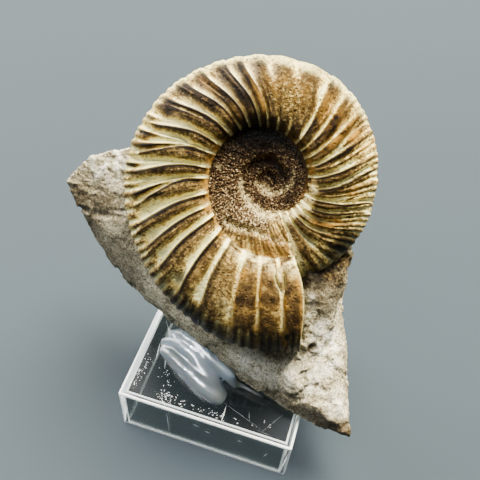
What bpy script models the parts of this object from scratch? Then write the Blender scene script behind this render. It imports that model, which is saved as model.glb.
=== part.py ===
# Fossil ammonite in its limestone chunk, glued on a clear plastic box used as a stand.
# Metres, +Z up. The stand's open side rests on z = 0, and the middle of the whole
# specimen's bounding box is on the Z axis.
# The shell is laid out in its own frame: X and Y span the coil's flat plane,
# Z points out of the side that faces the viewer.

import math

import bmesh
import bpy
from mathutils import Matrix, Vector, noise

MM = 0.001
SHARP_ANGLE = math.radians(50.0)

# Clear box, open below
STAND_WIDTH = 50.0 * MM
STAND_HEIGHT = 19.5 * MM
STAND_WALL = 1.6 * MM
STAND_EDGE_ROUND = 0.3 * MM

# Where the coil's axis stands over the middle of the stand, and how the disc leans
SHELL_CENTRE = Vector((0.8, 21.2, 68.4)) * MM
SHELL_FACES_AZIMUTH = math.radians(13.7)
SHELL_FACES_ELEVATION = math.radians(44.0)
SHELL_ROLL = math.radians(5.0)

# Coil: the rim spiral, and the seam spiral where a whorl meets the one inside it.
# Radii in millimetres at equal steps back from the broken end, over one turn. Each
# further turn inward repeats them, shrunk.
RIM_RADII = (45.3, 43.4, 39.9, 37.3, 36.2, 34.2, 33.0, 32.0, 30.2, 28.6, 27.8, 27.2)
RIM_SHRINK = 0.582
SEAM_RADII = (19.6, 17.9, 15.7, 15.1, 14.4, 12.0, 10.1, 9.4)
SEAM_SHRINK = 0.42
HALF_THICKNESS_START = 12.0 * MM
APERTURE_ANGLE = math.radians(-70.0)
WHORLS = 2

# Whorl section: shoulder at this share of the way out, and roundness beyond it
SHOULDER_SHARE = 0.34
SHOULDER_ROUNDNESS = 2.6
FLANK_ROUNDNESS = 2.3

# Ribs, as degrees back from the broken end of the shell to each main rib's crest
RIB_ANGLES = (
    1, 12, 26, 36, 55, 66, 78, 89, 100, 115, 122, 137, 147, 161, 172,
    180, 194, 204, 214, 225, 237, 249, 258, 272, 285, 299, 311, 326, 338, 349,
)
ROWS_PER_RIB = 4
RIB_HEIGHT = 0.75 * MM
FINE_RIB_HEIGHT = 0.45 * MM
FORK_SHARE = 0.62

# How far a rib sweeps towards the mouth by the time it reaches the rim, as pairs of
# degrees back from the mouth and degrees of sweep. At the mouth the break cuts back.
RIB_SWEEP = (
    (0, -9), (12, -2), (26, 2), (55, 5), (100, 7), (190, 10), (240, 5), (285, 9),
    (311, 14), (335, 18), (348, 10), (360, 0),
)

# Columns from the seam to the rim, as shares of the way out. The covered column lands
# where the outer whorl hides the one inside it.
COLUMN_SHARES = (0.0, 0.16, 0.34, 0.54, 0.70, 0.83, 0.94, 1.0)
COVERED_COLUMN = 3

# Limestone
CLEARANCE = 0.3 * MM
MOUTH_CLEARANCE_ANGLE = math.radians(1.5)
ROCK_ROUGHNESS = 0.55 * MM
ROCK_GRAIN = 7.0 * MM
ROCK_FLOOR = STAND_HEIGHT + CLEARANCE

# Corners of the wedge that stands on the box, in millimetres from the middle of the
# stand. Those with the height left out lie on the wedge's flat underside.
WEDGE_FOOT = (
    (-24.2, 4.1), (-8.6, -3.3), (7.5, -10.5), (21.7, -14.2), (30.8, -16.6), (39.0, -16.1),
    (30.0, 5.0), (14.0, 20.0), (-18.0, 18.0),
)
WEDGE_SIDES = (
    (-35.3, 2.8, 34.4), (-43.5, 5.9, 43.3), (-48.6, 9.2, 51.4),
    (-33.2, 7.8, 56.2), (-27.4, 0.7, 46.8), (-15.0, -6.2, 35.7), (0.8, -9.4, 29.4),
    (6.8, -9.8, 29.5), (14.7, -10.8, 30.0), (21.0, -12.4, 29.5), (33.8, -16.5, 25.0),
    (37.9, -14.2, 22.5), (33.9, -3.9, 29.4), (29.3, 0.5, 35.7),
    (-32.9, 13.4, 30.3), (-40.0, 25.0, 54.0), (-12.0, 35.0, 54.0), (22.0, 30.0, 46.0),
)

# Corners of the lobe at the left, and of the fill that stands out of the shell's mouth
LOBE = (
    (-37.6, 20.1, 68.1), (-47.6, 17.3, 64.7), (-53.7, 12.6, 58.1), (-49.5, 8.6, 51.8),
    (-30.0, 14.0, 62.0), (-32.0, 8.0, 54.5), (-24.0, 30.0, 68.0), (-42.0, 25.0, 56.0),
    (-46.0, 20.0, 50.0), (-20.0, 32.0, 52.0),
)
MOUTH_FILL = (
    (15.7, 6.3, 59.0), (19.6, 1.9, 50.4), (21.6, -4.0, 38.6), (24.0, 4.5, 49.0),
    (27.0, 9.1, 48.9), (26.7, 13.0, 53.4), (26.3, 18.4, 56.5), (29.3, 0.5, 35.7),
    (12.0, 2.0, 46.0), (8.0, 22.0, 52.0), (20.0, 30.0, 52.0), (14.0, -8.0, 30.0),
    (20.0, 20.0, 36.0), (21.0, -11.0, 28.0),
)

# Glue bead along the foot of the wedge: middle line on the box's top, and its radius
GLUE_LINE = ((-20.0, -4.0, 2.5), (-14.0, -7.0, 4.8), (-4.5, -12.0, 5.2), (3.6, -15.8, 3.6))
GLUE_RISE = 0.5 * MM


def clear_scene():
    for scene_object in list(bpy.data.objects):
        bpy.data.objects.remove(scene_object, do_unlink=True)


def make_material(name, color, roughness, alpha=1.0, transmission=0.0):
    material = bpy.data.materials.new(name)
    material.use_nodes = True
    shader = material.node_tree.nodes["Principled BSDF"]
    shader.inputs["Base Color"].default_value = (*color, 1.0)
    shader.inputs["Roughness"].default_value = roughness
    shader.inputs["Metallic"].default_value = 0.0
    shader.inputs["Alpha"].default_value = alpha
    shader.inputs["Transmission Weight"].default_value = transmission
    return material


def make_object(name, mesh, collection, material=None):
    new_object = bpy.data.objects.new(name, mesh)
    collection.objects.link(new_object)
    if material:
        mesh.materials.append(material)
    return new_object


def mesh_from_bmesh(name, shape):
    bmesh.ops.recalc_face_normals(shape, faces=shape.faces)
    mesh = bpy.data.meshes.new(name)
    shape.to_mesh(mesh)
    shape.free()
    return mesh


def hide_cutter(cutter):
    cutter.hide_render = True
    cutter.display_type = "WIRE"


def add_boolean(target, cutter, operation):
    modifier = target.modifiers.new(cutter.name, "BOOLEAN")
    modifier.operation = operation
    modifier.solver = "EXACT"
    modifier.object = cutter


def shell_matrix():
    facing = Vector((
        math.sin(SHELL_FACES_AZIMUTH) * math.cos(SHELL_FACES_ELEVATION),
        -math.cos(SHELL_FACES_AZIMUTH) * math.cos(SHELL_FACES_ELEVATION),
        math.sin(SHELL_FACES_ELEVATION),
    ))
    level = Vector((math.cos(SHELL_FACES_AZIMUTH), math.sin(SHELL_FACES_AZIMUTH), 0.0))
    rotation = Matrix((level, facing.cross(level), facing)).transposed()
    roll = Matrix.Rotation(SHELL_ROLL, 3, "Z")
    return Matrix.Translation(SHELL_CENTRE) @ (rotation @ roll).to_4x4()


def smooth_cycle(values, shrink, angle):
    # smooth curve through equally spaced values, shrunk once per turn
    count = len(values)
    place = angle / math.tau * count
    index = math.floor(place)
    part = place - index

    def value(step):
        turn, slot = divmod(step, count)
        return math.log(values[slot]) + turn * math.log(shrink)

    before, here, ahead, beyond = (value(index + step) for step in (-1, 0, 1, 2))
    bend = (ahead - before) * part
    bend += (2.0 * before - 5.0 * here + 4.0 * ahead - beyond) * part ** 2
    bend += (3.0 * (here - ahead) + beyond - before) * part ** 3
    return math.exp(here + 0.5 * bend)


def rim_radius(angle):
    return smooth_cycle(RIM_RADII, RIM_SHRINK, angle) * MM


def seam_radius(angle):
    return smooth_cycle(SEAM_RADII, SEAM_SHRINK, angle) * MM


def half_thickness(angle):
    return HALF_THICKNESS_START * RIM_SHRINK ** (angle / math.tau)


def covered_share(angle):
    # how far out on the whorl at this angle the next whorl's seam lies
    own_seam = seam_radius(angle)
    return (seam_radius(angle - math.tau) - own_seam) / (rim_radius(angle) - own_seam)


def flank_height(share):
    if share <= SHOULDER_SHARE:
        return 1.0
    beyond = (share - SHOULDER_SHARE) / (1.0 - SHOULDER_SHARE)
    return max(0.0, 1.0 - beyond ** FLANK_ROUNDNESS) ** (1.0 / FLANK_ROUNDNESS)


def section_height(angle, share):
    half = half_thickness(angle)
    seam_height = half_thickness(angle + math.tau) * flank_height(covered_share(angle + math.tau))
    if share >= SHOULDER_SHARE:
        return half * flank_height(share)
    inward = (SHOULDER_SHARE - share) / SHOULDER_SHARE
    rise = (1.0 - inward ** SHOULDER_ROUNDNESS) ** (1.0 / SHOULDER_ROUNDNESS)
    return seam_height + (half - seam_height) * rise


def row_angle(row):
    rib_count = len(RIB_ANGLES)
    turn, place = divmod(row / ROWS_PER_RIB, rib_count)
    rib = int(place)
    start = RIB_ANGLES[rib]
    end = RIB_ANGLES[rib + 1] if rib + 1 < rib_count else RIB_ANGLES[0] + 360.0
    return math.radians(360.0 * turn + start + (end - start) * (place - rib))


def smooth_step(low, high, value):
    share = min(1.0, max(0.0, (value - low) / (high - low)))
    return share * share * (3.0 - 2.0 * share)


def rib_relief(row, angle, share):
    # one broad rib on the inner flank forks into two finer ones towards the rim
    phase = math.tau * row / ROWS_PER_RIB
    forked = smooth_step(FORK_SHARE - 0.12, FORK_SHARE + 0.12, share)
    main = RIB_HEIGHT * math.cos(phase)
    fine = -FINE_RIB_HEIGHT * math.cos(2.0 * phase)
    rise = smooth_step(0.0, 0.25, share)
    size = half_thickness(angle) / HALF_THICKNESS_START
    return size * rise * (main * (1.0 - forked) + fine * forked)


def rib_sweep(angle, share):
    # ribs run straight out from the seam, then curve towards the mouth
    degrees = math.degrees(angle)
    sweep = 0.0
    for (low, first), (high, second) in zip(RIB_SWEEP, RIB_SWEEP[1:]):
        if low <= degrees <= high:
            sweep = first + (second - first) * smooth_step(low, high, degrees)
    return math.radians(sweep) * smooth_step(0.1, 1.0, share)


def shell_point(row, share, grow=0.0):
    # grown, it is the smooth form that leaves room for the ribs all round
    angle = row_angle(row)
    turned = angle - rib_sweep(angle, share)
    bump = grow
    if grow:
        turned -= MOUTH_CLEARANCE_ANGLE
    else:
        bump = rib_relief(row, angle, share)
    inner = seam_radius(angle)
    outer = rim_radius(turned)
    slope = smooth_step(0.3, 1.0, share)
    radius = inner + (outer - inner) * share + bump * slope
    height = section_height(angle, share) + bump * (1.0 - slope ** 2)
    if share >= 1.0:
        height = 0.0
    direction = APERTURE_ANGLE - turned
    return Vector((radius * math.cos(direction), radius * math.sin(direction), height))


def mirrored(point):
    return Vector((point.x, point.y, -point.z))


def bridge(shape, row_a, row_b, columns):
    for column in range(columns):
        corners = [row_a[column], row_a[column + 1], row_b[column + 1], row_b[column]]
        shape.faces.new(list(dict.fromkeys(corners)))


def close_mouth(shape, outer_loop, inner_loop):
    # the broken end: a face between the last whorl's section and the whorl inside it
    outer_step = 0
    inner_step = 0
    outer_count = len(outer_loop) - 1
    inner_count = len(inner_loop) - 1
    while outer_step < outer_count or inner_step < inner_count:
        outer_next = (outer_step + 1) / outer_count if outer_step < outer_count else 2.0
        inner_next = (inner_step + 1) / inner_count if inner_step < inner_count else 2.0
        corners = [outer_loop[outer_step], inner_loop[inner_step]]
        if outer_next <= inner_next:
            outer_step += 1
            corners.append(outer_loop[outer_step])
        else:
            inner_step += 1
            corners.append(inner_loop[inner_step])
        if len(set(corners)) == 3:
            shape.faces.new(corners)


def build_shell_mesh(name, grow=0.0, row_step=1):
    rows_per_turn = len(RIB_ANGLES) * ROWS_PER_RIB // row_step
    last_row = rows_per_turn * WHORLS
    rim = len(COLUMN_SHARES) - 1
    shape = bmesh.new()
    front_rows = []
    back_rows = []
    for index in range(last_row + 1):
        row = index * row_step
        front = []
        back = []
        shares = COLUMN_SHARES
        if index > rows_per_turn:
            ratio = covered_share(row_angle(row)) / COLUMN_SHARES[COVERED_COLUMN]
            shares = [share * ratio for share in COLUMN_SHARES[:COVERED_COLUMN]]
        for column, share in enumerate(shares):
            if index >= rows_per_turn and column == COVERED_COLUMN:
                front.append(front_rows[index - rows_per_turn][0])
                back.append(back_rows[index - rows_per_turn][0])
                continue
            point = shell_point(row, share, grow)
            vertex = shape.verts.new(point)
            front.append(vertex)
            back.append(vertex if column == rim else shape.verts.new(mirrored(point)))
        if index > rows_per_turn:
            front.append(front_rows[index - rows_per_turn][0])
            back.append(back_rows[index - rows_per_turn][0])
        front_rows.append(front)
        back_rows.append(back)

    for index in range(last_row):
        columns = rim if index < rows_per_turn else COVERED_COLUMN
        for rows in (front_rows, back_rows):
            bridge(shape, rows[index], rows[index + 1], columns)

    section = front_rows[0] + back_rows[0][-2::-1]
    inner = front_rows[rows_per_turn][COVERED_COLUMN:] + back_rows[rows_per_turn][-2:COVERED_COLUMN - 1:-1]
    close_mouth(shape, section, inner)

    for rows, side in ((front_rows, 1.0), (back_rows, -1.0)):
        first = last_row - rows_per_turn
        loop = [rows[index][0] for index in range(first, last_row + 1)]
        loop += rows[last_row][1:COVERED_COLUMN]
        middle_height = side * section_height(row_angle(last_row * row_step), 0.0)
        middle = shape.verts.new(Vector((0.0, 0.0, middle_height)))
        for corner, following in zip(loop, loop[1:] + loop[:1]):
            shape.faces.new([corner, following, middle])

    bmesh.ops.triangulate(shape, faces=shape.faces)
    return mesh_from_bmesh(name, shape)


def hull_mesh(name, corners):
    shape = bmesh.new()
    for corner in corners:
        shape.verts.new(Vector(corner) * MM)
    hull = bmesh.ops.convex_hull(shape, input=shape.verts)
    inside = [item for item in hull["geom_interior"] if isinstance(item, bmesh.types.BMVert)]
    bmesh.ops.delete(shape, geom=inside, context="VERTS")
    return mesh_from_bmesh(name, shape)


def roughen(rock, edge_length):
    # remesh the joined chunk evenly, then push its skin in and out along smooth noise
    shape = bmesh.new()
    shape.from_mesh(rock.data)
    for _ in range(3):
        long_edges = [edge for edge in shape.edges if edge.calc_length() > edge_length]
        if not long_edges:
            break
        bmesh.ops.subdivide_edges(shape, edges=long_edges, cuts=1)
        bmesh.ops.triangulate(shape, faces=shape.faces)
    shape.normal_update()
    for vertex in shape.verts:
        if vertex.co.z < ROCK_FLOOR + 0.1 * MM:
            continue
        bump = noise.noise(vertex.co / ROCK_GRAIN) + 0.5 * noise.noise(vertex.co * 2.0 / ROCK_GRAIN)
        vertex.co += vertex.normal * bump * ROCK_ROUGHNESS
        vertex.co.z = max(vertex.co.z, ROCK_FLOOR)
    shape.to_mesh(rock.data)
    shape.free()


def build_matrix(parts, cutters, material):
    foot = [(x, y, ROCK_FLOOR / MM) for x, y in WEDGE_FOOT]
    chunk = make_object("chunk", hull_mesh("chunk", foot + list(WEDGE_SIDES)), cutters)
    for name, corners in (("lobe", LOBE), ("mouth_fill", MOUTH_FILL)):
        piece = make_object(name, hull_mesh(name, corners), cutters)
        hide_cutter(piece)
        add_boolean(chunk, piece, "UNION")
    joined = bpy.data.meshes.new_from_object(evaluated(chunk))
    bpy.data.objects.remove(chunk)

    rock = make_object("matrix", joined, parts)
    rock.data.materials.clear()
    rock.data.materials.append(material)
    roughen(rock, 9.0 * MM)

    pocket_mesh = build_shell_mesh("pocket", RIB_HEIGHT + CLEARANCE, row_step=2)
    pocket = make_object("pocket", pocket_mesh, cutters)
    pocket.matrix_world = shell_matrix()
    hide_cutter(pocket)
    add_boolean(rock, pocket, "DIFFERENCE")
    return rock


def evaluated(scene_object):
    bpy.context.view_layer.update()
    return scene_object.evaluated_get(bpy.context.evaluated_depsgraph_get())


def build_ammonite(parts, material):
    shell = make_object("ammonite", build_shell_mesh("ammonite"), parts, material)
    shell.data.shade_smooth()
    shell.data.set_sharp_from_angle(angle=SHARP_ANGLE)
    shell.matrix_world = shell_matrix()
    return shell


def build_stand(parts, cutters, material):
    bpy.ops.mesh.primitive_cube_add(size=1.0)
    box = bpy.context.object
    box.name = "stand"
    box.data.name = "stand"
    size = Vector((STAND_WIDTH, STAND_WIDTH, STAND_HEIGHT))
    box.data.transform(Matrix.Diagonal(size).to_4x4())
    box.location.z = STAND_HEIGHT / 2.0
    box.data.materials.append(material)
    move_to(box, parts)

    bpy.ops.mesh.primitive_cube_add(size=1.0)
    hollow = bpy.context.object
    hollow.name = "hollow"
    inside = STAND_WIDTH - 2.0 * STAND_WALL
    hollow.data.transform(Matrix.Diagonal(Vector((inside, inside, STAND_HEIGHT))).to_4x4())
    hollow.location.z = STAND_HEIGHT / 2.0 - STAND_WALL
    move_to(hollow, cutters)
    hide_cutter(hollow)
    add_boolean(box, hollow, "DIFFERENCE")

    rounding = box.modifiers.new("edges", "BEVEL")
    rounding.width = STAND_EDGE_ROUND
    rounding.segments = 2
    rounding.limit_method = "ANGLE"
    return box


def move_to(scene_object, collection):
    for owner in list(scene_object.users_collection):
        owner.objects.unlink(scene_object)
    collection.objects.link(scene_object)


def build_glue(parts, cutters, rock, material):
    curve = bpy.data.curves.new("glue_line", "CURVE")
    curve.dimensions = "3D"
    curve.bevel_depth = 1.0
    curve.bevel_resolution = 3
    curve.resolution_u = 4
    curve.use_fill_caps = True
    line = curve.splines.new("NURBS")
    line.points.add(len(GLUE_LINE) - 1)
    line.order_u = 3
    line.use_endpoint_u = True
    for point, (x, y, radius) in zip(line.points, GLUE_LINE):
        point.co = (x * MM, y * MM, STAND_HEIGHT + GLUE_RISE, 1.0)
        point.radius = radius * MM
    bead_curve = make_object("glue_line", curve, cutters)
    mesh = bpy.data.meshes.new_from_object(evaluated(bead_curve))
    bpy.data.objects.remove(bead_curve)
    shape = bmesh.new()
    shape.from_mesh(mesh)
    bmesh.ops.remove_doubles(shape, verts=shape.verts, dist=0.0001)
    bead = make_object("glue", mesh_from_bmesh("glue", shape), parts, material)
    bead.data.shade_smooth()
    bead.data.set_sharp_from_angle(angle=SHARP_ANGLE)

    bpy.ops.mesh.primitive_cube_add(size=1.0)
    table = bpy.context.object
    table.name = "stand_top"
    depth = 20.0 * MM
    table.data.transform(Matrix.Diagonal(Vector((0.2, 0.2, depth))).to_4x4())
    table.location.z = STAND_HEIGHT + CLEARANCE - depth / 2.0
    move_to(table, cutters)
    hide_cutter(table)
    add_boolean(bead, table, "DIFFERENCE")

    grown = bpy.data.meshes.new_from_object(evaluated(rock))
    rock_skin = make_object("rock_skin", grown, cutters)
    swell = rock_skin.modifiers.new("swell", "DISPLACE")
    swell.strength = CLEARANCE
    swell.mid_level = 0.0
    hide_cutter(rock_skin)
    add_boolean(bead, rock_skin, "DIFFERENCE")
    return bead


def centre_over_origin(pieces, cutters):
    # hang everything on one empty, and put the specimen's middle on the Z axis
    corners = []
    for piece in pieces:
        shown = evaluated(piece)
        corners += [shown.matrix_world @ vertex.co for vertex in shown.data.vertices]
    middle_x = (min(c.x for c in corners) + max(c.x for c in corners)) / 2.0
    middle_y = (min(c.y for c in corners) + max(c.y for c in corners)) / 2.0
    holder = bpy.data.objects.new("specimen", None)
    bpy.context.scene.collection.objects.link(holder)
    for scene_object in pieces + list(cutters.objects):
        scene_object.parent = holder
    holder.location = (-middle_x, -middle_y, 0.0)


def main():
    clear_scene()
    parts = bpy.data.collections.new("fossil_ammonite")
    cutters = bpy.data.collections.new("cutters")
    bpy.context.scene.collection.children.link(parts)
    bpy.context.scene.collection.children.link(cutters)

    shell_stone = make_material("shell_stone", (0.36, 0.26, 0.10), 0.5)
    limestone = make_material("limestone", (0.42, 0.38, 0.31), 0.9)
    polystyrene = make_material("clear_polystyrene", (0.95, 0.97, 0.98), 0.05, 0.35, 1.0)
    hot_glue = make_material("hot_melt_glue", (0.62, 0.66, 0.70), 0.25, 0.8)

    rock = build_matrix(parts, cutters, limestone)
    pieces = [
        build_ammonite(parts, shell_stone),
        rock,
        build_stand(parts, cutters, polystyrene),
        build_glue(parts, cutters, rock, hot_glue),
    ]
    centre_over_origin(pieces, cutters)


main()
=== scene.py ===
# Fossil ammonite in its limestone, glued on a clear plastic box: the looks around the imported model.
# Places are given in millimetres from the middle of the box's footprint, as the solids were laid out.
import math
import bmesh
import bpy
import numpy as np
from mathutils import Matrix, Vector, noise


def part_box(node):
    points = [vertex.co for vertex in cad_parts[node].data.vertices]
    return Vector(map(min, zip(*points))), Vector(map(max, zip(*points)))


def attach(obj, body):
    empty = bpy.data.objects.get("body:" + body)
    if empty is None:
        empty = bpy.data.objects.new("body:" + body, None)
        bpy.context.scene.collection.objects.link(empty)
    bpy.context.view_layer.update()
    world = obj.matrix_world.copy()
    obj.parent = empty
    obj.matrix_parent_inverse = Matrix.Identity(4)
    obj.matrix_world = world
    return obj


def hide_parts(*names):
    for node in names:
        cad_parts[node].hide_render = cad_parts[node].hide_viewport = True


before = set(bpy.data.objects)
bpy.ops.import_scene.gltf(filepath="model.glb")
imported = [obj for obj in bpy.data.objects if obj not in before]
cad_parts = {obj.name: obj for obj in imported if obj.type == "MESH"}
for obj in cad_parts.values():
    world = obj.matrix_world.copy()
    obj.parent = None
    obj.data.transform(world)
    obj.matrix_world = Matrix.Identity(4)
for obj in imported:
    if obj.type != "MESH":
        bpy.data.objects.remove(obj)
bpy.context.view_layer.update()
mm = 0.001
standLow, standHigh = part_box("stand")
standMiddle = Vector(((standLow.x + standHigh.x) / 2, (standLow.y + standHigh.y) / 2, 0.0))
print("frame loaded")


def hexColour(code):
    # an sRGB hex value as the linear colour that Blender's sockets hold
    channels = [int(code[place:place + 2], 16) / 255 for place in (1, 3, 5)]
    return (*(c / 12.92 if c <= 0.04045 else ((c + 0.055) / 1.055) ** 2.4 for c in channels), 1.0)


def addNode(tree, kind, links=None, **settings):
    # a link is a socket, a node (its first live output) or a plain value
    node = tree.nodes.new(kind)
    for name, value in settings.items():
        if name == "curve":
            line = node.mapping.curves[0].points
            node.mapping.clip_max_y = 2.0
            while len(line) < len(value):
                line.new(0.5, 0.5)
            for point, place in zip(line, value):
                point.location = place
                point.handle_type = "AUTO"
            node.mapping.update()
        elif name == "ramp":
            marks = node.color_ramp.elements
            while len(marks) < len(value):
                marks.new(1.0)
            for mark, (place, colour) in zip(marks, value):
                mark.position = place
                mark.color = hexColour(colour) if isinstance(colour, str) else (colour, colour, colour, 1.0)
        else:
            setattr(node, name, value)
    for socket, source in (links or {}).items():
        if isinstance(source, bpy.types.Node):
            source = next(output for output in source.outputs if output.enabled)
        if isinstance(source, bpy.types.NodeSocket):
            tree.links.new(source, node.inputs[socket])
        else:
            node.inputs[socket].default_value = source
    return node


def addRows(tree, known, rows):
    # a table of nodes: result, what is done, what it is done to. Known holds the results by name.
    for result, work, *terms in rows:
        values = [known.get(term, term) if isinstance(term, str) else term for term in terms]
        if isinstance(work, (tuple, list)):
            known[result] = addNode(tree, "ShaderNodeFloatCurve", {"Value": values[0]}, curve=work)
        elif work == "SMOOTHSTEP":
            links = {0: values[0], 1: values[1], 2: values[2], 3: 0.0, 4: 1.0}
            known[result] = addNode(tree, "ShaderNodeMapRange", links, interpolation_type=work)
        else:
            known[result] = addNode(tree, "ShaderNodeMath", dict(enumerate(values)), operation=work)
    return known


def startTree(name, sizes, fields):
    # a Geometry Nodes tree with its sizes as named inputs and the mesh's own attributes at hand
    tree = bpy.data.node_groups.new(name, "GeometryNodeTree")
    tree.interface.new_socket("Geometry", in_out="INPUT", socket_type="NodeSocketGeometry")
    tree.interface.new_socket("Geometry", in_out="OUTPUT", socket_type="NodeSocketGeometry")
    for size, value in sizes.items():
        socket = tree.interface.new_socket(size, in_out="INPUT", socket_type="NodeSocketFloat")
        socket.default_value = value
    start = addNode(tree, "NodeGroupInput")
    known = {output.name: output for output in start.outputs if output.name}
    for field in fields:
        known[field] = addNode(tree, "GeometryNodeInputNamedAttribute", {"Name": field}, data_type="FLOAT")
    return tree, known


def endTree(tree, geometry, material):
    real = addNode(tree, "GeometryNodeRealizeInstances", {"Geometry": geometry})
    dressed = addNode(tree, "GeometryNodeSetMaterial", {"Geometry": real, "Material": material})
    addNode(tree, "NodeGroupOutput", {"Geometry": dressed})


def runTree(piece, tree, sizes):
    # the tree's result becomes the piece's plain mesh
    modifier = piece.modifiers.new(tree.name, "NODES")
    modifier.node_group = tree
    for item in tree.interface.items_tree:
        if item.name in sizes:
            modifier[item.identifier] = sizes[item.name]
    bakeModifiers(piece)


def bakeModifiers(piece):
    bpy.context.view_layer.update()
    graph = bpy.context.evaluated_depsgraph_get()
    result = bpy.data.meshes.new_from_object(
        piece.evaluated_get(graph), preserve_all_data_layers=True, depsgraph=graph)
    piece.modifiers.clear()
    piece.data = result


def newPiece(name, mesh):
    piece = bpy.data.objects.new(name, mesh)
    bpy.context.scene.collection.objects.link(piece)
    return piece


def setField(mesh, name, values):
    field = mesh.attributes.get(name) or mesh.attributes.new(name, "FLOAT", "POINT")
    field.data.foreach_set("value", np.ascontiguousarray(values, dtype=np.float32))


def smoothStep(low, high, value):
    share = np.clip((value - low) / (high - low), 0.0, 1.0)
    return share * share * (3.0 - 2.0 * share)


def placed(point):
    # millimetres from the stand's middle, as a place in the model
    return Vector(point) * mm + standMiddle


def outwardFrom(around, above):
    # the direction at an azimuth and an elevation in degrees, with 0, 0 in front
    around, above = math.radians(around), math.radians(above)
    return Vector((math.sin(around) * math.cos(above), -math.cos(around) * math.cos(above), math.sin(above)))


def aimLamp(lamp, aim, outward, distance):
    turn = outward.to_track_quat("Z", "Y").to_matrix().to_4x4()
    lamp.matrix_world = Matrix.Translation(aim + outward * distance) @ turn


def newMaterial(name, finish):
    # the finish holds values of the shader's own sockets
    material = bpy.data.materials.new(name)
    material.use_nodes = True
    shader = material.node_tree.nodes["Principled BSDF"]
    for socket, value in finish.items():
        shader.inputs[socket].default_value = hexColour(value) if isinstance(value, str) else value
    return material, material.node_tree, shader


def layColours(tree, known, colour, layers):
    # each layer covers those before it: its colour, the field that says where, and how strongly
    for cover, field, strength in layers:
        share = addNode(tree, "ShaderNodeMath", {0: known[field], 1: strength}, operation="MULTIPLY")
        cover = hexColour(cover) if isinstance(cover, str) else cover
        colour = addNode(tree, "ShaderNodeMix", {0: share, 6: colour, 7: cover}, data_type="RGBA").outputs[2]
    return colour


view = {
    "place": (22.7, -93.8, 188.0),   # mm from the stand's middle
    "azimuth": 13.7, "lookDown": 51.0, "roll": 5.0,
    "lens": 48.75,
}

azimuth, roll = math.radians(view["azimuth"]), math.radians(view["roll"])
back = outwardFrom(view["azimuth"], view["lookDown"])
level = Vector((math.cos(azimuth), math.sin(azimuth), 0.0))
upright = back.cross(level)
right = level * math.cos(roll) + upright * math.sin(roll)
up = upright * math.cos(roll) - level * math.sin(roll)
cameraData = bpy.data.cameras.new("camera")
cameraData.lens = view["lens"]
cameraData.clip_start, cameraData.clip_end = 0.01, 10.0
camera = newPiece("camera", cameraData)
camera.matrix_world = Matrix.Translation(placed(view["place"])) @ Matrix((right, up, back)).transposed().to_4x4()
bpy.context.scene.camera = camera

lights = {
    # name: where from (azimuth, elevation), distance in m, size in m, watts, colour.
    # The window and the rim lamp stand behind the fossil and rake over its ribs
    "window": ((166.0, 64.0), 1.5, 0.9, 250.0, "#fff8e2"),
    "rim": ((188.0, 24.0), 1.2, 0.7, 18.0, "#fff4cc"),
    "secondWindow": ((248.0, 28.0), 1.2, 0.8, 38.0, "#f4f2ee"),
    "glint": ((305.0, 60.0), 1.2, 0.5, 30.0, "#f6faff"),
}
# a narrow lamp low at the front left, on the box and the glue alone
boxLamp = {"from": (290.0, 58.0), "aim": (-7.0, -18.0, 14.0), "distance": 1.0, "size": 0.03, "spread": 3.6,
           "power": 42.0, "colour": "#f3f8ff"}
focus = placed((0.0, 15.0, 45.0))
for name, (place, distance, size, power, colour) in lights.items():
    lampData = bpy.data.lights.new(name, "AREA")
    lampData.shape = "RECTANGLE"
    lampData.size = lampData.size_y = size
    lampData.energy = power
    lampData.color = hexColour(colour)[:3]
    lamp = newPiece(name, lampData)
    aimLamp(lamp, focus, outwardFrom(*place), distance)
    # the window lights but isn't mirrored, and the glint only shows as highlights
    lamp.visible_glossy = lamp.visible_transmission = name != "window"
    lamp.visible_diffuse = name != "glint"

lampData = bpy.data.lights.new("boxLamp", "SPOT")
lampData.spot_size, lampData.spot_blend = math.radians(boxLamp["spread"]), 1.0
lampData.shadow_soft_size, lampData.energy = boxLamp["size"], boxLamp["power"]
lampData.color = hexColour(boxLamp["colour"])[:3]
aimLamp(newPiece("boxLamp", lampData), placed(boxLamp["aim"]), outwardFrom(*boxLamp["from"]), boxLamp["distance"])

# a dim room that is brighter behind the object, which fills the shadows on the table
roomSizes = {"colour": "#efeeec", "dim": 0.1, "bright": 3.6, "azimuth": 193.7, "elevation": 22.0,
             "mirroredElevation": 64.0}
world = bpy.data.worlds.new("room")
bpy.context.scene.world = world
world.use_nodes = True
room = world.node_tree
direction = addNode(room, "ShaderNodeTexCoord").outputs["Generated"]
known = {}
for name in ("elevation", "mirroredElevation"):
    behind = outwardFrom(roomSizes["azimuth"], roomSizes[name])
    facing = addNode(room, "ShaderNodeVectorMath", {0: direction, 1: behind}, operation="DOT_PRODUCT")
    known[name] = facing.outputs["Value"]
addRows(room, known, (
    # the part of the room that the box's top mirrors to the camera is dark
    ("lit", "MAXIMUM", "elevation", 0.0), ("open", "SMOOTHSTEP", "mirroredElevation", 0.97, 0.88),
    ("litOpen", "MULTIPLY", "lit", "open"),
    ("glow", "MULTIPLY_ADD", "litOpen", roomSizes["bright"], roomSizes["dim"]),
))
room.nodes["Background"].inputs["Color"].default_value = hexColour(roomSizes["colour"])
room.links.new(known["glow"].outputs[0], room.nodes["Background"].inputs["Strength"])

tableSizes = {"width": 3.0, "colour": "#2d353c"}

# matt painted board: smooth and even, so it stays quiet
tableMaterial = newMaterial("mattPaintedBoard", {
    "Base Color": tableSizes["colour"], "Roughness": 0.8, "Specular IOR Level": 0.2})[0]
half = tableSizes["width"] / 2
tableMesh = bpy.data.meshes.new("table")
tableMesh.from_pydata([(-half, -half, 0), (half, -half, 0), (half, half, 0), (-half, half, 0)], [], [(0, 1, 2, 3)])
tableMesh.materials.append(tableMaterial)
table = newPiece("table", tableMesh)
print("camera, lights and table")


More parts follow.
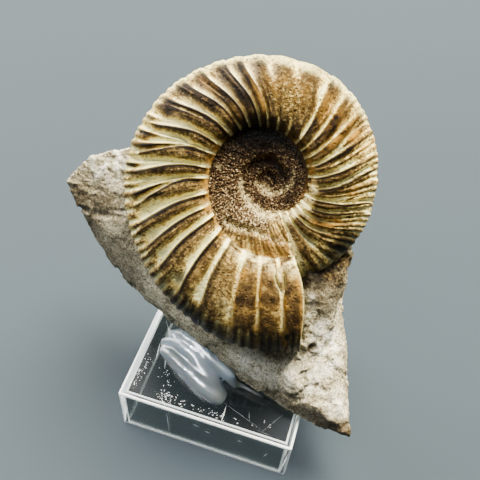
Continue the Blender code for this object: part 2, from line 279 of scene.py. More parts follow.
shell = {
    "centre": (0.8, 21.2, 68.4), "facesAzimuth": 13.7, "facesElevation": 44.0, "roll": 5.0,
    "mouthAngle": -70.0,
    # mm at equal steps back from the mouth over one turn, then repeated smaller
    "rimRadii": (45.3, 43.2, 39.7, 37.3, 36.2, 34.2, 31.9, 30.8, 30.1, 28.4, 27.4, 26.9),
    "seamRadii": (19.6, 17.9, 15.7, 15.1, 14.4, 12.0, 10.1, 9.4),
    # degrees back from the mouth to each main rib's crest at the seam
    "ribs": (1, 13.5, 26, 38.6, 55, 66.5, 80, 90, 101, 114.5, 124, 137, 147, 160.5, 171, 180, 190.5, 198,
             208, 220, 235, 246, 257, 268.5, 283, 295, 310, 321, 331, 340.5, 350),
    # degrees back from the mouth, and how far a rib leans towards it at the rim
    "sweep": ((0, -9), (12, -2), (26, 2), (55, 5), (100, 7), (190, 10), (240, 5), (285, 9), (311, 14),
              (335, 18), (348, 10), (360, 0)),
    # degrees back from the mouth: the share of the way out where the fine ribs start, and their strength
    "fineRibs": ((0, 0.62, 0.7), (50, 0.64, 0.9), (75, 0.74, 1.0), (130, 0.76, 1.0), (160, 0.8, 0.6),
                 (200, 0.84, 0.15), (240, 0.7, 0.2), (262, 0.6, 0.6), (285, 0.55, 0.9), (320, 0.5, 1.0),
                 (345, 0.5, 1.0), (360, 0.6, 0.8)),
    # degrees back from the mouth: which side of a rib is steep and carries painted shade, 1 towards the mouth and -1
    # away from it
    "steepSide": ((0, 0.2), (40, 0.7), (70, 1.0), (185, 1.0), (205, 0.6), (222, -0.5), (238, -0.9), (255, -1.0),
                  (345, -1.0), (360, 0.2)),
    "seed": 11,
    "whorls": 3, "rowsPerRib": 24,
    "columns": {"front": 46, "back": 16}, "coveredColumns": {"front": 20, "back": 7},
    "coveredShare": 0.627,
    "skew": 0.5,
    # degrees back from the mouth where the crust starts at the seam, how much later it does at the rim, how soft
    "crustFrom": 372.0, "crustSlant": 42.0, "crustFade": 14.0,
}
shellSizes = {
    "Rim radius": 45.3 * mm, "Rim shrink": 0.582, "Seam radius": 19.6 * mm, "Seam shrink": 0.42,
    "Half thickness": 12.0 * mm, "Shoulder": 0.34, "Shoulder roundness": 2.6, "Flank roundness": 2.3,
    "Rib height": 2.5 * mm, "Fine rib height": 0.55 * mm, "Rib width": 0.17, "Rib widening": 0.1,
    "Fine rib width": 0.27, "Wobble": 0.09, "Inner slant": 1.3, "Crust height": 1.6 * mm, "Grain height": 0.75 * mm,
    "Lump height": 0.55 * mm,
}


def shellPlan():
    # the coil rolled out flat: rows run across the whorl, each row a step back along the shell
    ribCount = len(shell["ribs"])
    perTurn = ribCount * shell["rowsPerRib"]
    last = perTurn * shell["whorls"]
    grids, shares = {}, {}
    for side, columns in shell["columns"].items():
        covered = shell["coveredColumns"][side]
        bend = math.log(1.0 - shell["coveredShare"]) / math.log(1.0 - covered / columns)
        shares[side] = 1.0 - (1.0 - np.arange(columns + 1) / columns) ** bend
        grids[side] = np.full((last + 1, columns + 1), -1)
    ribs, across, sides, inner = [], [], [], []

    def addVertex(row, share, side, inside):
        ribs.append(row / shell["rowsPerRib"])
        across.append(share)
        sides.append(side)
        inner.append(inside)
        return len(ribs) - 1

    for row in range(last + 1):
        for side, sign in (("front", 1.0), ("back", -1.0)):
            columns, covered = shell["columns"][side], shell["coveredColumns"][side]
            ownColumns = columns if row <= perTurn else covered
            for column in range(ownColumns + 1):
                if row >= perTurn and column == covered:
                    grids[side][row, column] = grids[side][row - perTurn, 0]
                elif side == "back" and column == columns:
                    grids[side][row, column] = grids["front"][row, shell["columns"]["front"]]
                else:
                    share = shares[side][column]
                    if row > perTurn:
                        share /= shares[side][covered]
                    grids[side][row, column] = addVertex(row, share, sign, float(row > perTurn))

    faces = []
    for side, grid in grids.items():
        columns, covered = shell["columns"][side], shell["coveredColumns"][side]
        for row in range(last):
            for column in range(columns if row < perTurn else covered):
                corners = [grid[row, column], grid[row, column + 1], grid[row + 1, column + 1], grid[row + 1, column]]
                faces.append(tuple(dict.fromkeys(int(corner) for corner in corners)))

    # the broken end, between the last whorl's section and the whorl inside it
    front, rear = grids["front"], grids["back"]
    outerLoop = [*front[0], *rear[0][-2::-1]]
    coveredFront, coveredRear = shell["coveredColumns"]["front"], shell["coveredColumns"]["back"]
    innerLoop = [*front[perTurn][coveredFront:], *rear[perTurn][coveredRear:-1][::-1]]
    outerStep = innerStep = 0
    while outerStep < len(outerLoop) - 1 or innerStep < len(innerLoop) - 1:
        outerNext = (outerStep + 1) / (len(outerLoop) - 1)
        innerNext = (innerStep + 1) / (len(innerLoop) - 1)
        corners = [outerLoop[outerStep], innerLoop[innerStep]]
        if outerNext <= innerNext:
            outerStep += 1
            corners.append(outerLoop[outerStep])
        else:
            innerStep += 1
            corners.append(innerLoop[innerStep])
        if len(set(corners)) == 3:
            faces.append(tuple(int(corner) for corner in corners))

    # the middle of the umbilicus on both sides
    middles = []
    for side, sign in (("front", 1.0), ("back", -1.0)):
        grid, covered = grids[side], shell["coveredColumns"][side]
        middle = addVertex(last, 0.0, sign, 1.0)
        middles.append(middle)
        loop = [*grid[last - perTurn:last + 1, 0], *grid[last, 1:covered]]
        for corner, following in zip(loop, loop[1:] + loop[:1]):
            faces.append((int(corner), int(following), middle))

    mesh = bpy.data.meshes.new("shellPlan")
    ribs, across = np.array(ribs), np.array(across)
    mesh.from_pydata(np.stack([ribs, across, np.array(sides)], 1) * mm, [], faces)
    plan = {"ribs": ribs, "across": across, "side": np.array(sides), "inner": np.array(inner)}
    plan["middle"] = np.zeros(len(ribs))
    plan["middle"][middles] = 1.0
    return mesh, plan


def spotField(psi, share, spots, wrap=True):
    # soft spots on the last whorl: degrees back from the mouth, share of the way out, their half
    # widths, and strength
    total = np.zeros(len(psi))
    for angle, out, halfAngle, halfShare, strength in spots:
        away = psi - angle
        if wrap:
            away = (away + 180.0) % 360.0 - 180.0
        distance = (away / halfAngle) ** 2 + ((share - out) / halfShare) ** 2
        total = np.maximum(total, strength * np.exp(-distance ** 1.5))
    return total


def lineField(psi, share, lines, steepSide):
    # single crests: their course as (degrees back from the mouth, share) going out, half width, strength.
    # The second field is the painted shade in the hollow on each one's steep side
    total, leeShade = np.zeros(len(psi)), np.zeros(len(psi))
    for course, half, strength in lines:
        angles, shares = zip(*course)
        away = (psi - np.interp(share, shares, angles) + 180.0) % 360.0 - 180.0
        inside = smoothStep(shares[0] - 0.08, shares[0] + 0.08, share) * \
            (1.0 - smoothStep(shares[-1] - 0.06, shares[-1] + 0.1, share))
        width = half * (1.0 + shell["skew"] * steepSide * np.sign(away))
        total = np.maximum(total, strength * inside * np.exp(-np.abs(away / width) ** 1.7))
        # painted shade: a dark band in the hollow just off the crest, on its steep side
        stain = np.exp(-((away + 1.1 * half * steepSide) / (0.7 * half)) ** 2)
        leeShade = np.maximum(leeShade, strength * inside * stain * np.abs(steepSide))
    return total, leeShade


singleCrests = (
    (((113.8, 0.25), (111.0, 0.5), (107.8, 0.85)), 1.5, 0.75), (((115.0, 0.4), (118.0, 0.9)), 1.9, 0.8),
    (((124.3, 0.3), (126.0, 0.6), (128.0, 0.95)), 2.0, 1.0), (((136.0, 0.3), (133.0, 0.6), (131.0, 0.95)), 1.3, 0.65),
    (((137.5, 0.3), (140.0, 0.6), (143.0, 0.95)), 2.2, 1.0), (((148.0, 0.3), (150.0, 0.95)), 2.0, 0.9),
    (((156.0, 0.4), (156.6, 0.8)), 1.1, 0.55), (((175.0, 0.45), (175.0, 0.85)), 1.0, 0.4),
    (((187.0, 0.5), (187.0, 0.85)), 1.0, 0.35), (((202.0, 0.2), (201.0, 0.9)), 1.4, 0.25),
    (((228.0, 0.2), (228.0, 0.8)), 1.6, 0.3), (((241.0, 0.4), (243.0, 0.8)), 2.0, 0.5),
    (((270.0, 0.08), (269.0, 0.3), (265.0, 0.6), (264.0, 0.8)), 2.0, 0.9), (((276.0, 0.35), (276.0, 0.9)), 1.4, 0.6),
    (((298.0, 0.12), (294.0, 0.5), (291.5, 0.9)), 2.1, 0.95), (((303.5, 0.25), (304.5, 0.8)), 1.2, 0.5),
    (((309.8, 0.08), (309.8, 0.3), (313.0, 0.6), (316.0, 0.95)), 1.5, 1.0), (((320.0, 0.3), (323.0, 0.9)), 1.5, 0.8),
    (((300.0, 0.5), (299.0, 0.9)), 1.1, 0.5), (((307.5, 0.5), (308.5, 0.9)), 1.1, 0.5),
    (((327.0, 0.5), (327.5, 0.9)), 1.1, 0.5),
    # the looped rib near the mouth
    (((16.4, 0.08), (15.8, 0.2), (13.0, 0.31)), 0.75, 1.0), (((11.0, 0.1), (11.2, 0.21), (12.6, 0.31)), 0.75, 1.0),
)

shellSpots = {
    # where the even run of main ribs gives way to single crests
    "broken": ((267, 0.75, 4, 0.25, 0.8), (296, 0.9, 5, 0.4, 1.0), (295, 0.1, 2.5, 0.35, 0.7),
               (310, 0.95, 3.2, 0.5, 1.0), (320, 0.95, 3.2, 0.4, 0.8), (13.2, 0.16, 4.0, 0.13, 1.0)),
    # granular patches where the ribs are worn off
    "worn": ((216, 0.45, 17, 0.36, 1.0), (45, 0.4, 7, 0.3, 0.7), (71, 0.62, 5.5, 0.12, 0.9),
             (244, 0.14, 6, 0.12, 0.6), (300, 0.62, 7, 0.16, 0.5)),
    # skin roughened with its ribs kept
    "rough": ((300, 0.55, 62, 0.5, 1.0), (235, 0.6, 30, 0.4, 0.9), (120, 0.95, 60, 0.15, 0.5),
              (45, 0.45, 12, 0.4, 0.5)),
    # smooth brown panels between low ribs
    "panel": ((8, 0.5, 12, 0.5, 1.0), (24, 0.45, 16, 0.5, 1.0), (34, 0.5, 9, 0.5, 0.8), (60, 0.4, 6, 0.35, 0.5),
              (174, 0.22, 6, 0.16, 0.8)),
    # chalky lime left along the inner edge
    "chalk": ((3, 0.04, 9, 0.07, 1.0), (0, 0.4, 1.6, 0.5, 1.0), (15, 0.1, 2.2, 0.17, 1.0), (18, 0.03, 9, 0.06, 1.0),
              (34, 0.03, 14, 0.06, 0.8),
              (300, 0.08, 12, 0.07, 0.8), (320, 0.09, 14, 0.09, 0.9), (341, 0.12, 9, 0.12, 0.9),
              (357, 0.07, 12, 0.08, 0.9), (43, 0.6, 3, 0.08, 0.6), (125, 0.1, 2.5, 0.09, 0.7)),
    # rust and ochre stains
    "rust": ((12.5, 0.38, 1.6, 0.16, 1.0), (12.8, 0.7, 1.5, 0.25, 0.8), (26, 0.45, 1.6, 0.45, 0.9),
             (38.5, 0.45, 1.6, 0.4, 0.7), (3, 0.5, 1.2, 0.3, 0.5),
             (3, 0.24, 2.0, 0.1, 0.8), (36.5, 0.19, 2.2, 0.05, 1.0), (267, 0.72, 3, 0.13, 1.0),
             (242, 0.6, 9, 0.22, 0.45), (258, 0.5, 6, 0.3, 0.6),
             (277, 0.8, 2, 0.14, 0.7), (331, 0.55, 4, 0.1, 0.7), (305, 0.65, 5, 0.15, 0.6),
             (215, 0.55, 16, 0.25, 0.2),
             (105, 0.01, 40, 0.05, 1.0), (240, 0.05, 22, 0.06, 0.7), (275, 0.03, 26, 0.045, 0.8),
             (335, 0.4, 5, 0.15, 0.6), (196, 0.4, 4, 0.2, 0.5), (175, 0.7, 2, 0.15, 0.5)),
    # painted shading: tone lowered where the lamp is strong, and painted light, paler, where the strength is below
    # nothing on the shaded side
    "browner": ((205, 0.55, 45, 0.45, 1.0), (252, 0.6, 20, 0.35, 0.7), (190, 0.8, 55, 0.14, 1.0),
                (300, 0.45, 45, 0.5, -0.9)),
    # painted sheen: a whitish highlight painted on the crests
    "silk": ((170, 0.55, 26, 0.3, 0.5), (195, 0.8, 14, 0.2, 0.4)),
    # painted light along the top rim, where the lamp catches it, and clean bright shell along the break
    "glow": ((0, 0.35, 1.8, 0.5, 1.0), (190, 1.03, 55, 0.1, 1.0), (218, 0.93, 17, 0.07, 0.6),
             (245, 1.01, 20, 0.1, 0.9)),
    # painted shadow with dark stain along the seam under the umbilical wall and on the rim at the shaded end, and a
    # dark pit
    "dark": ((150, 0.0, 30, 0.1, 0.7), (190, 0.02, 42, 0.16, 0.95), (226, 0.03, 15, 0.12, 0.7),
             (15, 0.92, 34, 0.26, 1.0), (52, 0.95, 26, 0.22, 1.0), (345, 0.85, 9, 0.22, 1.0),
             (354, 0.5, 8, 0.45, 0.6), (36.5, 0.19, 1.6, 0.035, 1.0)),
}

innerSpots = {
    # on the whorls inside: degrees back from the mouth along the whole coil, then as above
    # the pale swirl
    "pale": ((372, 0.02, 16, 0.09, 1.0), (392, 0.02, 18, 0.08, 1.0), (415, 0.0, 18, 0.07, 0.9),
             (440, 0.02, 16, 0.06, 0.9),
             (465, 0.04, 14, 0.07, 0.8), (725, 0.93, 12, 0.08, 0.9), (745, 0.88, 16, 0.12, 1.0),
             (765, 0.87, 14, 0.12, 0.9),
             (790, 0.88, 16, 0.12, 0.7), (487, 0.78, 3, 0.1, 0.7), (824, 0.12, 12, 0.12, 0.7),
             (799, 0.0, 16, 0.1, 0.8), (765, 0.0, 14, 0.08, 0.8), (1070, 0.9, 22, 0.25, 1.0),
             (735, 0.0, 22, 0.06, 0.9), (692, 0.02, 13, 0.06, 1.0),
             (668, 0.14, 13, 0.07, 0.9), (650, 0.29, 12, 0.08, 0.8), (634, 0.39, 12, 0.07, 0.5),
             (1045, 0.86, 16, 0.2, 0.6)),
    # a broken ledge of lime across the granular crust, and a brown lump at the top of the middle
    "ledge": ((426, 0.76, 5, 0.08, 1.0), (419, 0.67, 5, 0.09, 1.0), (412, 0.58, 5, 0.09, 1.0),
              (404, 0.52, 5, 0.08, 1.0),
              (396, 0.47, 6, 0.08, 1.0), (386, 0.5, 6, 0.07, 0.9), (376, 0.55, 6, 0.07, 0.8),
              (369, 0.62, 5, 0.07, 0.5)),
    "lump": ((919, 0.9, 15, 0.3, 1.0), (558, 0.02, 12, 0.1, 1.0)),
    # golden brown where the crust is thin
    "gold": ((372, 0.8, 30, 0.4, 1.0), (640, 0.97, 65, 0.1, 1.0), (340, 0.98, 40, 0.1, 1.0)),
    # grains of lime in the brown crust
    "grainy": ((440, 0.6, 22, 0.5, 0.5), (415, 0.3, 20, 0.3, 0.8), (393, 0.25, 14, 0.2, 1.0),
               (465, 0.5, 20, 0.5, 0.2)),
    # painted shadow, near black, where the crust lies deep under the umbilical wall and the ledge
    "shade": ((545, 0.6, 55, 0.7, 1.0), (500, 0.95, 25, 0.3, 0.7), (905, 0.5, 50, 0.5, 0.6),
              (690, 0.5, 22, 0.35, 0.6),
              (760, 0.35, 25, 0.25, 0.6), (400, 0.66, 16, 0.07, 0.6), (392, 0.8, 24, 0.12, 0.5),
              (640, 0.5, 30, 0.4, 0.4)),
}


def roundedSide(result, reach, roundness):
    # rows for a rounded side's height at this reach: (1 - reach^n)^(1/n)
    return ((result + "Power", "POWER", reach, roundness), (result + "Left", "SUBTRACT", 1.0, result + "Power"),
            (result + "Up", "MAXIMUM", result + "Left", 0.0), (result + "Root", "DIVIDE", 1.0, roundness),
            (result, "POWER", result + "Up", result + "Root"))


def shellTree(material):
    ribCount = len(shell["ribs"])
    firstTurn = shell["ribs"][0] / 360.0
    tree, known = startTree("coiledShell", shellSizes, (
        "ribs", "across", "side", "inner", "middle", "fineFrom", "fineStrength", "single", "strength", "crust",
        "worn", "rough", "steepSide", "singleLee", "ledge", "lump", "panel"))
    ribLine = [(step / ribCount, (angle - shell["ribs"][0]) / 360.0) for step, angle in enumerate(shell["ribs"])]
    ribLine.append((1.0, 1.0))
    lines = {}
    for name in ("rim", "seam"):
        radii, shrink = shell[name + "Radii"], shellSizes[name.capitalize() + " shrink"]
        count = len(radii)
        lines[name] = [(step / count, radius / radii[0] / shrink ** (step / count))
                       for step, radius in enumerate(radii)] + [(1.0, 1.0)]
    sweepRange = 40.0
    sweepLine = [(angle / 360.0, sweep / sweepRange + 0.5) for angle, sweep in shell["sweep"]]

    addRows(tree, known, (
        # where each row stands, in turns back from the mouth
        ("turns", "DIVIDE", "ribs", float(ribCount)), ("place", "FRACT", "turns"), ("turn", "FLOOR", "turns"),
        ("planned", ribLine, "place"), ("onTurn", "ADD", "turn", "planned"), ("angle", "ADD", "onTurn", firstTurn),
        ("onCycle", "FRACT", "angle"),
        # this whorl's rim and seam, and how much of it the next whorl covers
        ("shrunk", "POWER", "Rim shrink", "angle"), ("rimRatio", lines["rim"], "onCycle"),
        ("half", "MULTIPLY", "Half thickness", "shrunk"),
        ("rimEven", "MULTIPLY", "Rim radius", "shrunk"), ("rim", "MULTIPLY", "rimEven", "rimRatio"),
        ("seamShrunk", "POWER", "Seam shrink", "angle"), ("seamRatio", lines["seam"], "onCycle"),
        ("seamEven", "MULTIPLY", "Seam radius", "seamShrunk"), ("seam", "MULTIPLY", "seamEven", "seamRatio"),
        ("seamOutside", "DIVIDE", "seam", "Seam shrink"), ("stepOut", "SUBTRACT", "seamOutside", "seam"),
        ("depth", "SUBTRACT", "rim", "seam"), ("covered", "DIVIDE", "stepOut", "depth"),
        ("coveredLess", "SUBTRACT", "covered", 1.0), ("reach", "MULTIPLY_ADD", "inner", "coveredLess", 1.0),
        ("share", "MULTIPLY", "across", "reach"),
        # the flank's height, from the seam on the whorl inside up to the shoulder and down to the rim
        ("seamInside", "MULTIPLY", "seam", "Seam shrink"), ("rimInside", "MULTIPLY", "rim", "Rim shrink"),
        ("rise1", "SUBTRACT", "seam", "seamInside"), ("rise2", "SUBTRACT", "rimInside", "seamInside"),
        ("insideShare", "DIVIDE", "rise1", "rise2"), ("flankWidth", "SUBTRACT", 1.0, "Shoulder"),
        ("insideOver", "SUBTRACT", "insideShare", "Shoulder"), ("insideUp", "MAXIMUM", "insideOver", 0.0),
        ("insideBeyond", "DIVIDE", "insideUp", "flankWidth"),
        *roundedSide("insideFlank", "insideBeyond", "Flank roundness"),
        ("halfInside", "MULTIPLY", "half", "Rim shrink"), ("seamHeight", "MULTIPLY", "halfInside", "insideFlank"),
        ("over", "SUBTRACT", "share", "Shoulder"), ("overUp", "MAXIMUM", "over", 0.0),
        ("beyond", "DIVIDE", "overUp", "flankWidth"), *roundedSide("flank", "beyond", "Flank roundness"),
        ("under", "SUBTRACT", "Shoulder", "share"), ("underUp", "MAXIMUM", "under", 0.0),
        ("inward", "DIVIDE", "underUp", "Shoulder"), *roundedSide("climb", "inward", "Shoulder roundness"),
        ("wall", "SUBTRACT", "half", "seamHeight"),
        ("shoulderHeight", "MULTIPLY_ADD", "wall", "climb", "seamHeight"),
        ("height", "MULTIPLY", "flank", "shoulderHeight"), ("z", "MULTIPLY", "height", "side"),
        # ribs lean towards the mouth on their way out, and carry the rim with them
        ("leanScaled", sweepLine, "onCycle"),
        ("leanTurns", "MULTIPLY_ADD", "leanScaled", sweepRange / 360.0, -0.5 * sweepRange / 360.0),
        ("leanOut", "SMOOTHSTEP", "share", 0.1, 1.0), ("leanHere", "MULTIPLY", "leanTurns", "leanOut"),
        ("outerOnly", "SUBTRACT", 1.0, "inner"), ("lean", "MULTIPLY", "leanHere", "outerOnly"),
        ("turned", "SUBTRACT", "angle", "lean"), ("turnedCycle", "FRACT", "turned"),
        ("turnedShrunk", "POWER", "Rim shrink", "turned"), ("turnedRatio", lines["rim"], "turnedCycle"),
        ("turnedEven", "MULTIPLY", "Rim radius", "turnedShrunk"),
        ("turnedRim", "MULTIPLY", "turnedEven", "turnedRatio"),
        ("width", "SUBTRACT", "turnedRim", "seam"), ("outRadius", "MULTIPLY_ADD", "width", "share", "seam"),
        ("offMiddle", "SUBTRACT", 1.0, "middle"), ("radius", "MULTIPLY", "outRadius", "offMiddle"),
        ("direction", "MULTIPLY_ADD", "turned", -math.tau, math.radians(shell["mouthAngle"])),
        ("cosine", "COSINE", "direction"), ("sine", "SINE", "direction"),
        ("x", "MULTIPLY", "radius", "cosine"), ("y", "MULTIPLY", "radius", "sine"),
    ))
    spot = addNode(tree, "ShaderNodeCombineXYZ", {"X": known["x"], "Y": known["y"], "Z": known["z"]})
    coiled = addNode(tree, "GeometryNodeSetPosition", {"Geometry": known["Geometry"], "Position": spot})

    # ribs: one crest on the flank, which widens on its way out and gives way to three fine ribs
    here = addNode(tree, "GeometryNodeInputPosition")
    sway = addNode(tree, "ShaderNodeTexNoise", {"Vector": here, "Scale": 1.0 / (9.0 * mm), "Detail": 1.0})
    known["sway"] = sway
    addRows(tree, known, (
        ("slant", "MULTIPLY", "inner", "across"), ("slanted", "MULTIPLY_ADD", "slant", "Inner slant", "ribs"),
        ("swayed", "SUBTRACT", "sway", 0.5), ("shifted", "MULTIPLY_ADD", "swayed", "Wobble", "slanted"),
        ("ahead", "ADD", "shifted", 0.5), ("wrapped", "FRACT", "ahead"), ("phase", "SUBTRACT", "wrapped", 0.5),
        ("away", "ABSOLUTE", "phase"), ("widening", "SMOOTHSTEP", "share", 0.3, 0.8),
        ("crestEven", "MULTIPLY_ADD", "widening", "Rib widening", "Rib width"),
        ("panelNarrow", "MULTIPLY_ADD", "panel", -0.5, 1.0), ("crestWidth", "MULTIPLY", "crestEven", "panelNarrow"),
        ("farSide", "MULTIPLY", "phase", 14.0), ("farUp", "MINIMUM", "farSide", 1.0),
        ("sideSign", "MAXIMUM", "farUp", -1.0),
        ("sideways", "MULTIPLY", "sideSign", "steepSide"), ("skewed", "MULTIPLY_ADD", "sideways", shell["skew"], 1.0),
        ("skewedWidth", "MULTIPLY", "crestWidth", "skewed"), ("scaled", "DIVIDE", "away", "skewedWidth"),
        # the painted lee shadow: a black band in the hollow just off each crest, on its steep side
        ("leePhase", "MULTIPLY_ADD", "steepSide", 0.18, "phase"), ("leeScaled", "DIVIDE", "leePhase", 0.13),
        ("leeSquared", "MULTIPLY", "leeScaled", "leeScaled"), ("leeLowered", "MULTIPLY", "leeSquared", -1.0),
        ("leeShape", "EXPONENT", "leeLowered"),
        ("leeSteep", "ABSOLUTE", "steepSide"), ("leeOn", "MULTIPLY", "leeShape", "leeSteep"),
        ("steep", "POWER", "scaled", 1.7), ("lowered", "MULTIPLY", "steep", -1.0), ("main", "EXPONENT", "lowered"),
        ("finer", "MULTIPLY_ADD", "shifted", 3.0, 0.5), ("finerWrapped", "FRACT", "finer"),
        ("finePhase", "SUBTRACT", "finerWrapped", 0.5), ("fineScaled", "DIVIDE", "finePhase", "Fine rib width"),
        ("fineSquared", "MULTIPLY", "fineScaled", "fineScaled"), ("fineLowered", "MULTIPLY", "fineSquared", -1.0),
        ("fine", "EXPONENT", "fineLowered"), ("fineEnd", "ADD", "fineFrom", 0.16),
        ("fineIn", "SMOOTHSTEP", "share", "fineFrom", "fineEnd"), ("fineOn", "MULTIPLY", "fineIn", "fineStrength"),
        ("mainLeft", "MULTIPLY_ADD", "fineOn", -0.72, 1.0), ("mainKept", "MULTIPLY", "main", "mainLeft"),
        ("overBack", "SMOOTHSTEP", "share", 0.8, 1.0), ("backLeft", "MULTIPLY_ADD", "overBack", -0.8, 1.0),
        ("mainOut", "MULTIPLY", "mainKept", "backLeft"), ("mainHere", "MULTIPLY", "mainOut", "strength"),
        ("fineHere", "MULTIPLY", "fine", "fineOn"),
        ("crestHere", "MAXIMUM", "mainHere", "single"), ("strengthTone", "POWER", "strength", 0.5),
        ("mainTone", "MULTIPLY", "mainOut", "strengthTone"), ("crestTone", "MAXIMUM", "mainTone", "single"),
        ("fineTone", "MULTIPLY", "fineHere", 0.6),
        ("ridge", "MAXIMUM", "crestTone", "fineTone"), ("leeKept", "MULTIPLY", "leeOn", "mainLeft"),
        ("leeStrong", "MULTIPLY", "leeKept", "strength"),
        ("leeMain", "MAXIMUM", "leeStrong", "singleLee"), ("offRidge", "MULTIPLY_ADD", "crestHere", -1.0, 1.0),
        ("leeClear", "MAXIMUM", "offRidge", 0.0), ("lee", "MULTIPLY", "leeMain", "leeClear"),
        ("size", "DIVIDE", "half", "Half thickness"), ("ribRise", "SMOOTHSTEP", "share", 0.0, 0.2),
        ("sunk", "MULTIPLY", "strength", 0.25), ("aboveHollow", "SUBTRACT", "crestHere", "sunk"),
        ("tallMain", "MULTIPLY", "aboveHollow", "Rib height"),
        ("tallHere", "MULTIPLY_ADD", "fineHere", "Fine rib height", "tallMain"),
        ("scaledRib", "MULTIPLY", "tallHere", "size"), ("ribLift", "MULTIPLY", "scaledRib", "ribRise"),
    ))
    # brown crust in the umbilicus, and grain on the worn patches
    known["crustNoise"] = addNode(tree, "ShaderNodeTexNoise", {
        "Vector": here, "Scale": 1.0 / (1.3 * mm), "Detail": 4.0, "Roughness": 0.8})
    known["grainNoise"] = addNode(tree, "ShaderNodeTexNoise", {
        "Vector": here, "Scale": 1.0 / (1.1 * mm), "Detail": 3.0, "Roughness": 0.7})
    addRows(tree, known, (
        ("crustMid", "SUBTRACT", "crustNoise", 0.4), ("crustHere", "MULTIPLY", "crustMid", "crust"),
        ("crustLift", "MULTIPLY", "crustHere", "Crust height"),
        ("grainMid", "SUBTRACT", "grainNoise", 0.5), ("unsmooth", "MAXIMUM", "worn", "rough"),
        ("wornSome", "MULTIPLY_ADD", "unsmooth", 0.85, 0.15), ("grainHere", "MULTIPLY", "grainMid", "wornSome"),
        ("grainLift", "MULTIPLY_ADD", "grainHere", "Grain height", "ribLift"),
        ("lumpy", "ADD", "ledge", "lump"), ("lumpNoise", "MULTIPLY_ADD", "crustNoise", 1.2, "lumpy"),
        ("lumpShape", "MULTIPLY", "lumpNoise", "lumpy"),
        ("crustAndLump", "MULTIPLY_ADD", "lumpShape", "Lump height", "crustLift"),
        ("lift", "ADD", "grainLift", "crustAndLump"),
    ))
    normal = addNode(tree, "GeometryNodeInputNormal")
    push = addNode(tree, "ShaderNodeVectorMath", {0: normal, "Scale": known["lift"]}, operation="SCALE")
    raised = addNode(tree, "GeometryNodeSetPosition", {"Geometry": coiled, "Offset": push})
    stored = raised
    for field in ("share", "ridge", "lee"):
        stored = addNode(tree, "GeometryNodeStoreNamedAttribute", {
            "Geometry": stored, "Name": field, "Value": known[field]}, data_type="FLOAT", domain="POINT")
    endTree(tree, stored, material)
    return tree


def shellFields(plan):
    ribCount = len(shell["ribs"])
    angles = [*shell["ribs"], shell["ribs"][0] + 360.0]
    psi = np.interp(plan["ribs"] % ribCount, np.arange(ribCount + 1), angles)
    turn = np.floor(plan["ribs"] / ribCount)
    outer = (1.0 - plan["inner"]) * (plan["side"] > 0)
    fields = {name: spotField(psi, plan["across"], spots) * outer for name, spots in shellSpots.items()}
    angle, start, amount = zip(*shell["fineRibs"])
    fields["fineFrom"] = np.interp(psi, angle, start) * (1.0 - plan["inner"]) - plan["inner"]
    fields["fineStrength"] = np.interp(psi, angle, amount) * (1.0 - plan["inner"]) + 0.6 * plan["inner"]
    fields["steepSide"] = np.interp(psi, *zip(*shell["steepSide"])) * (1.0 - plan["inner"])
    crests = lineField(psi, plan["across"], singleCrests, fields["steepSide"])
    for name, field in zip(("single", "singleLee"), crests):
        fields[name] = field * outer
    # each rib's own height, eased from one rib to the next
    vigours = np.random.default_rng(shell["seed"]).uniform(0.85, 1.1, ribCount)
    rib = np.floor(plan["ribs"]).astype(int)
    ease = smoothStep(0.3, 0.7, plan["ribs"] - rib)
    vigour = vigours[rib % ribCount] * (1.0 - ease) + vigours[(rib + 1) % ribCount] * ease
    degreesBack = psi + 360.0 * turn
    crustEdge = shell["crustFrom"] + shell["crustSlant"] * smoothStep(0.35, 0.75, plan["across"])
    fields["crust"] = smoothStep(0.0, shell["crustFade"], degreesBack - crustEdge) * plan["inner"]
    for name, spots in innerSpots.items():
        fields[name] = spotField(degreesBack, plan["across"], spots, wrap=False) * plan["inner"] * (plan["side"] > 0)
    strength = vigour * (1.0 - 0.85 * fields["worn"]) * (1.0 - fields["broken"])
    strength *= 1.0 - 0.6 * fields["panel"]
    strength *= (1.0 - 0.85 * fields["crust"]) * (1.0 - 0.3 * plan["inner"])
    fields["strength"] = strength
    return fields


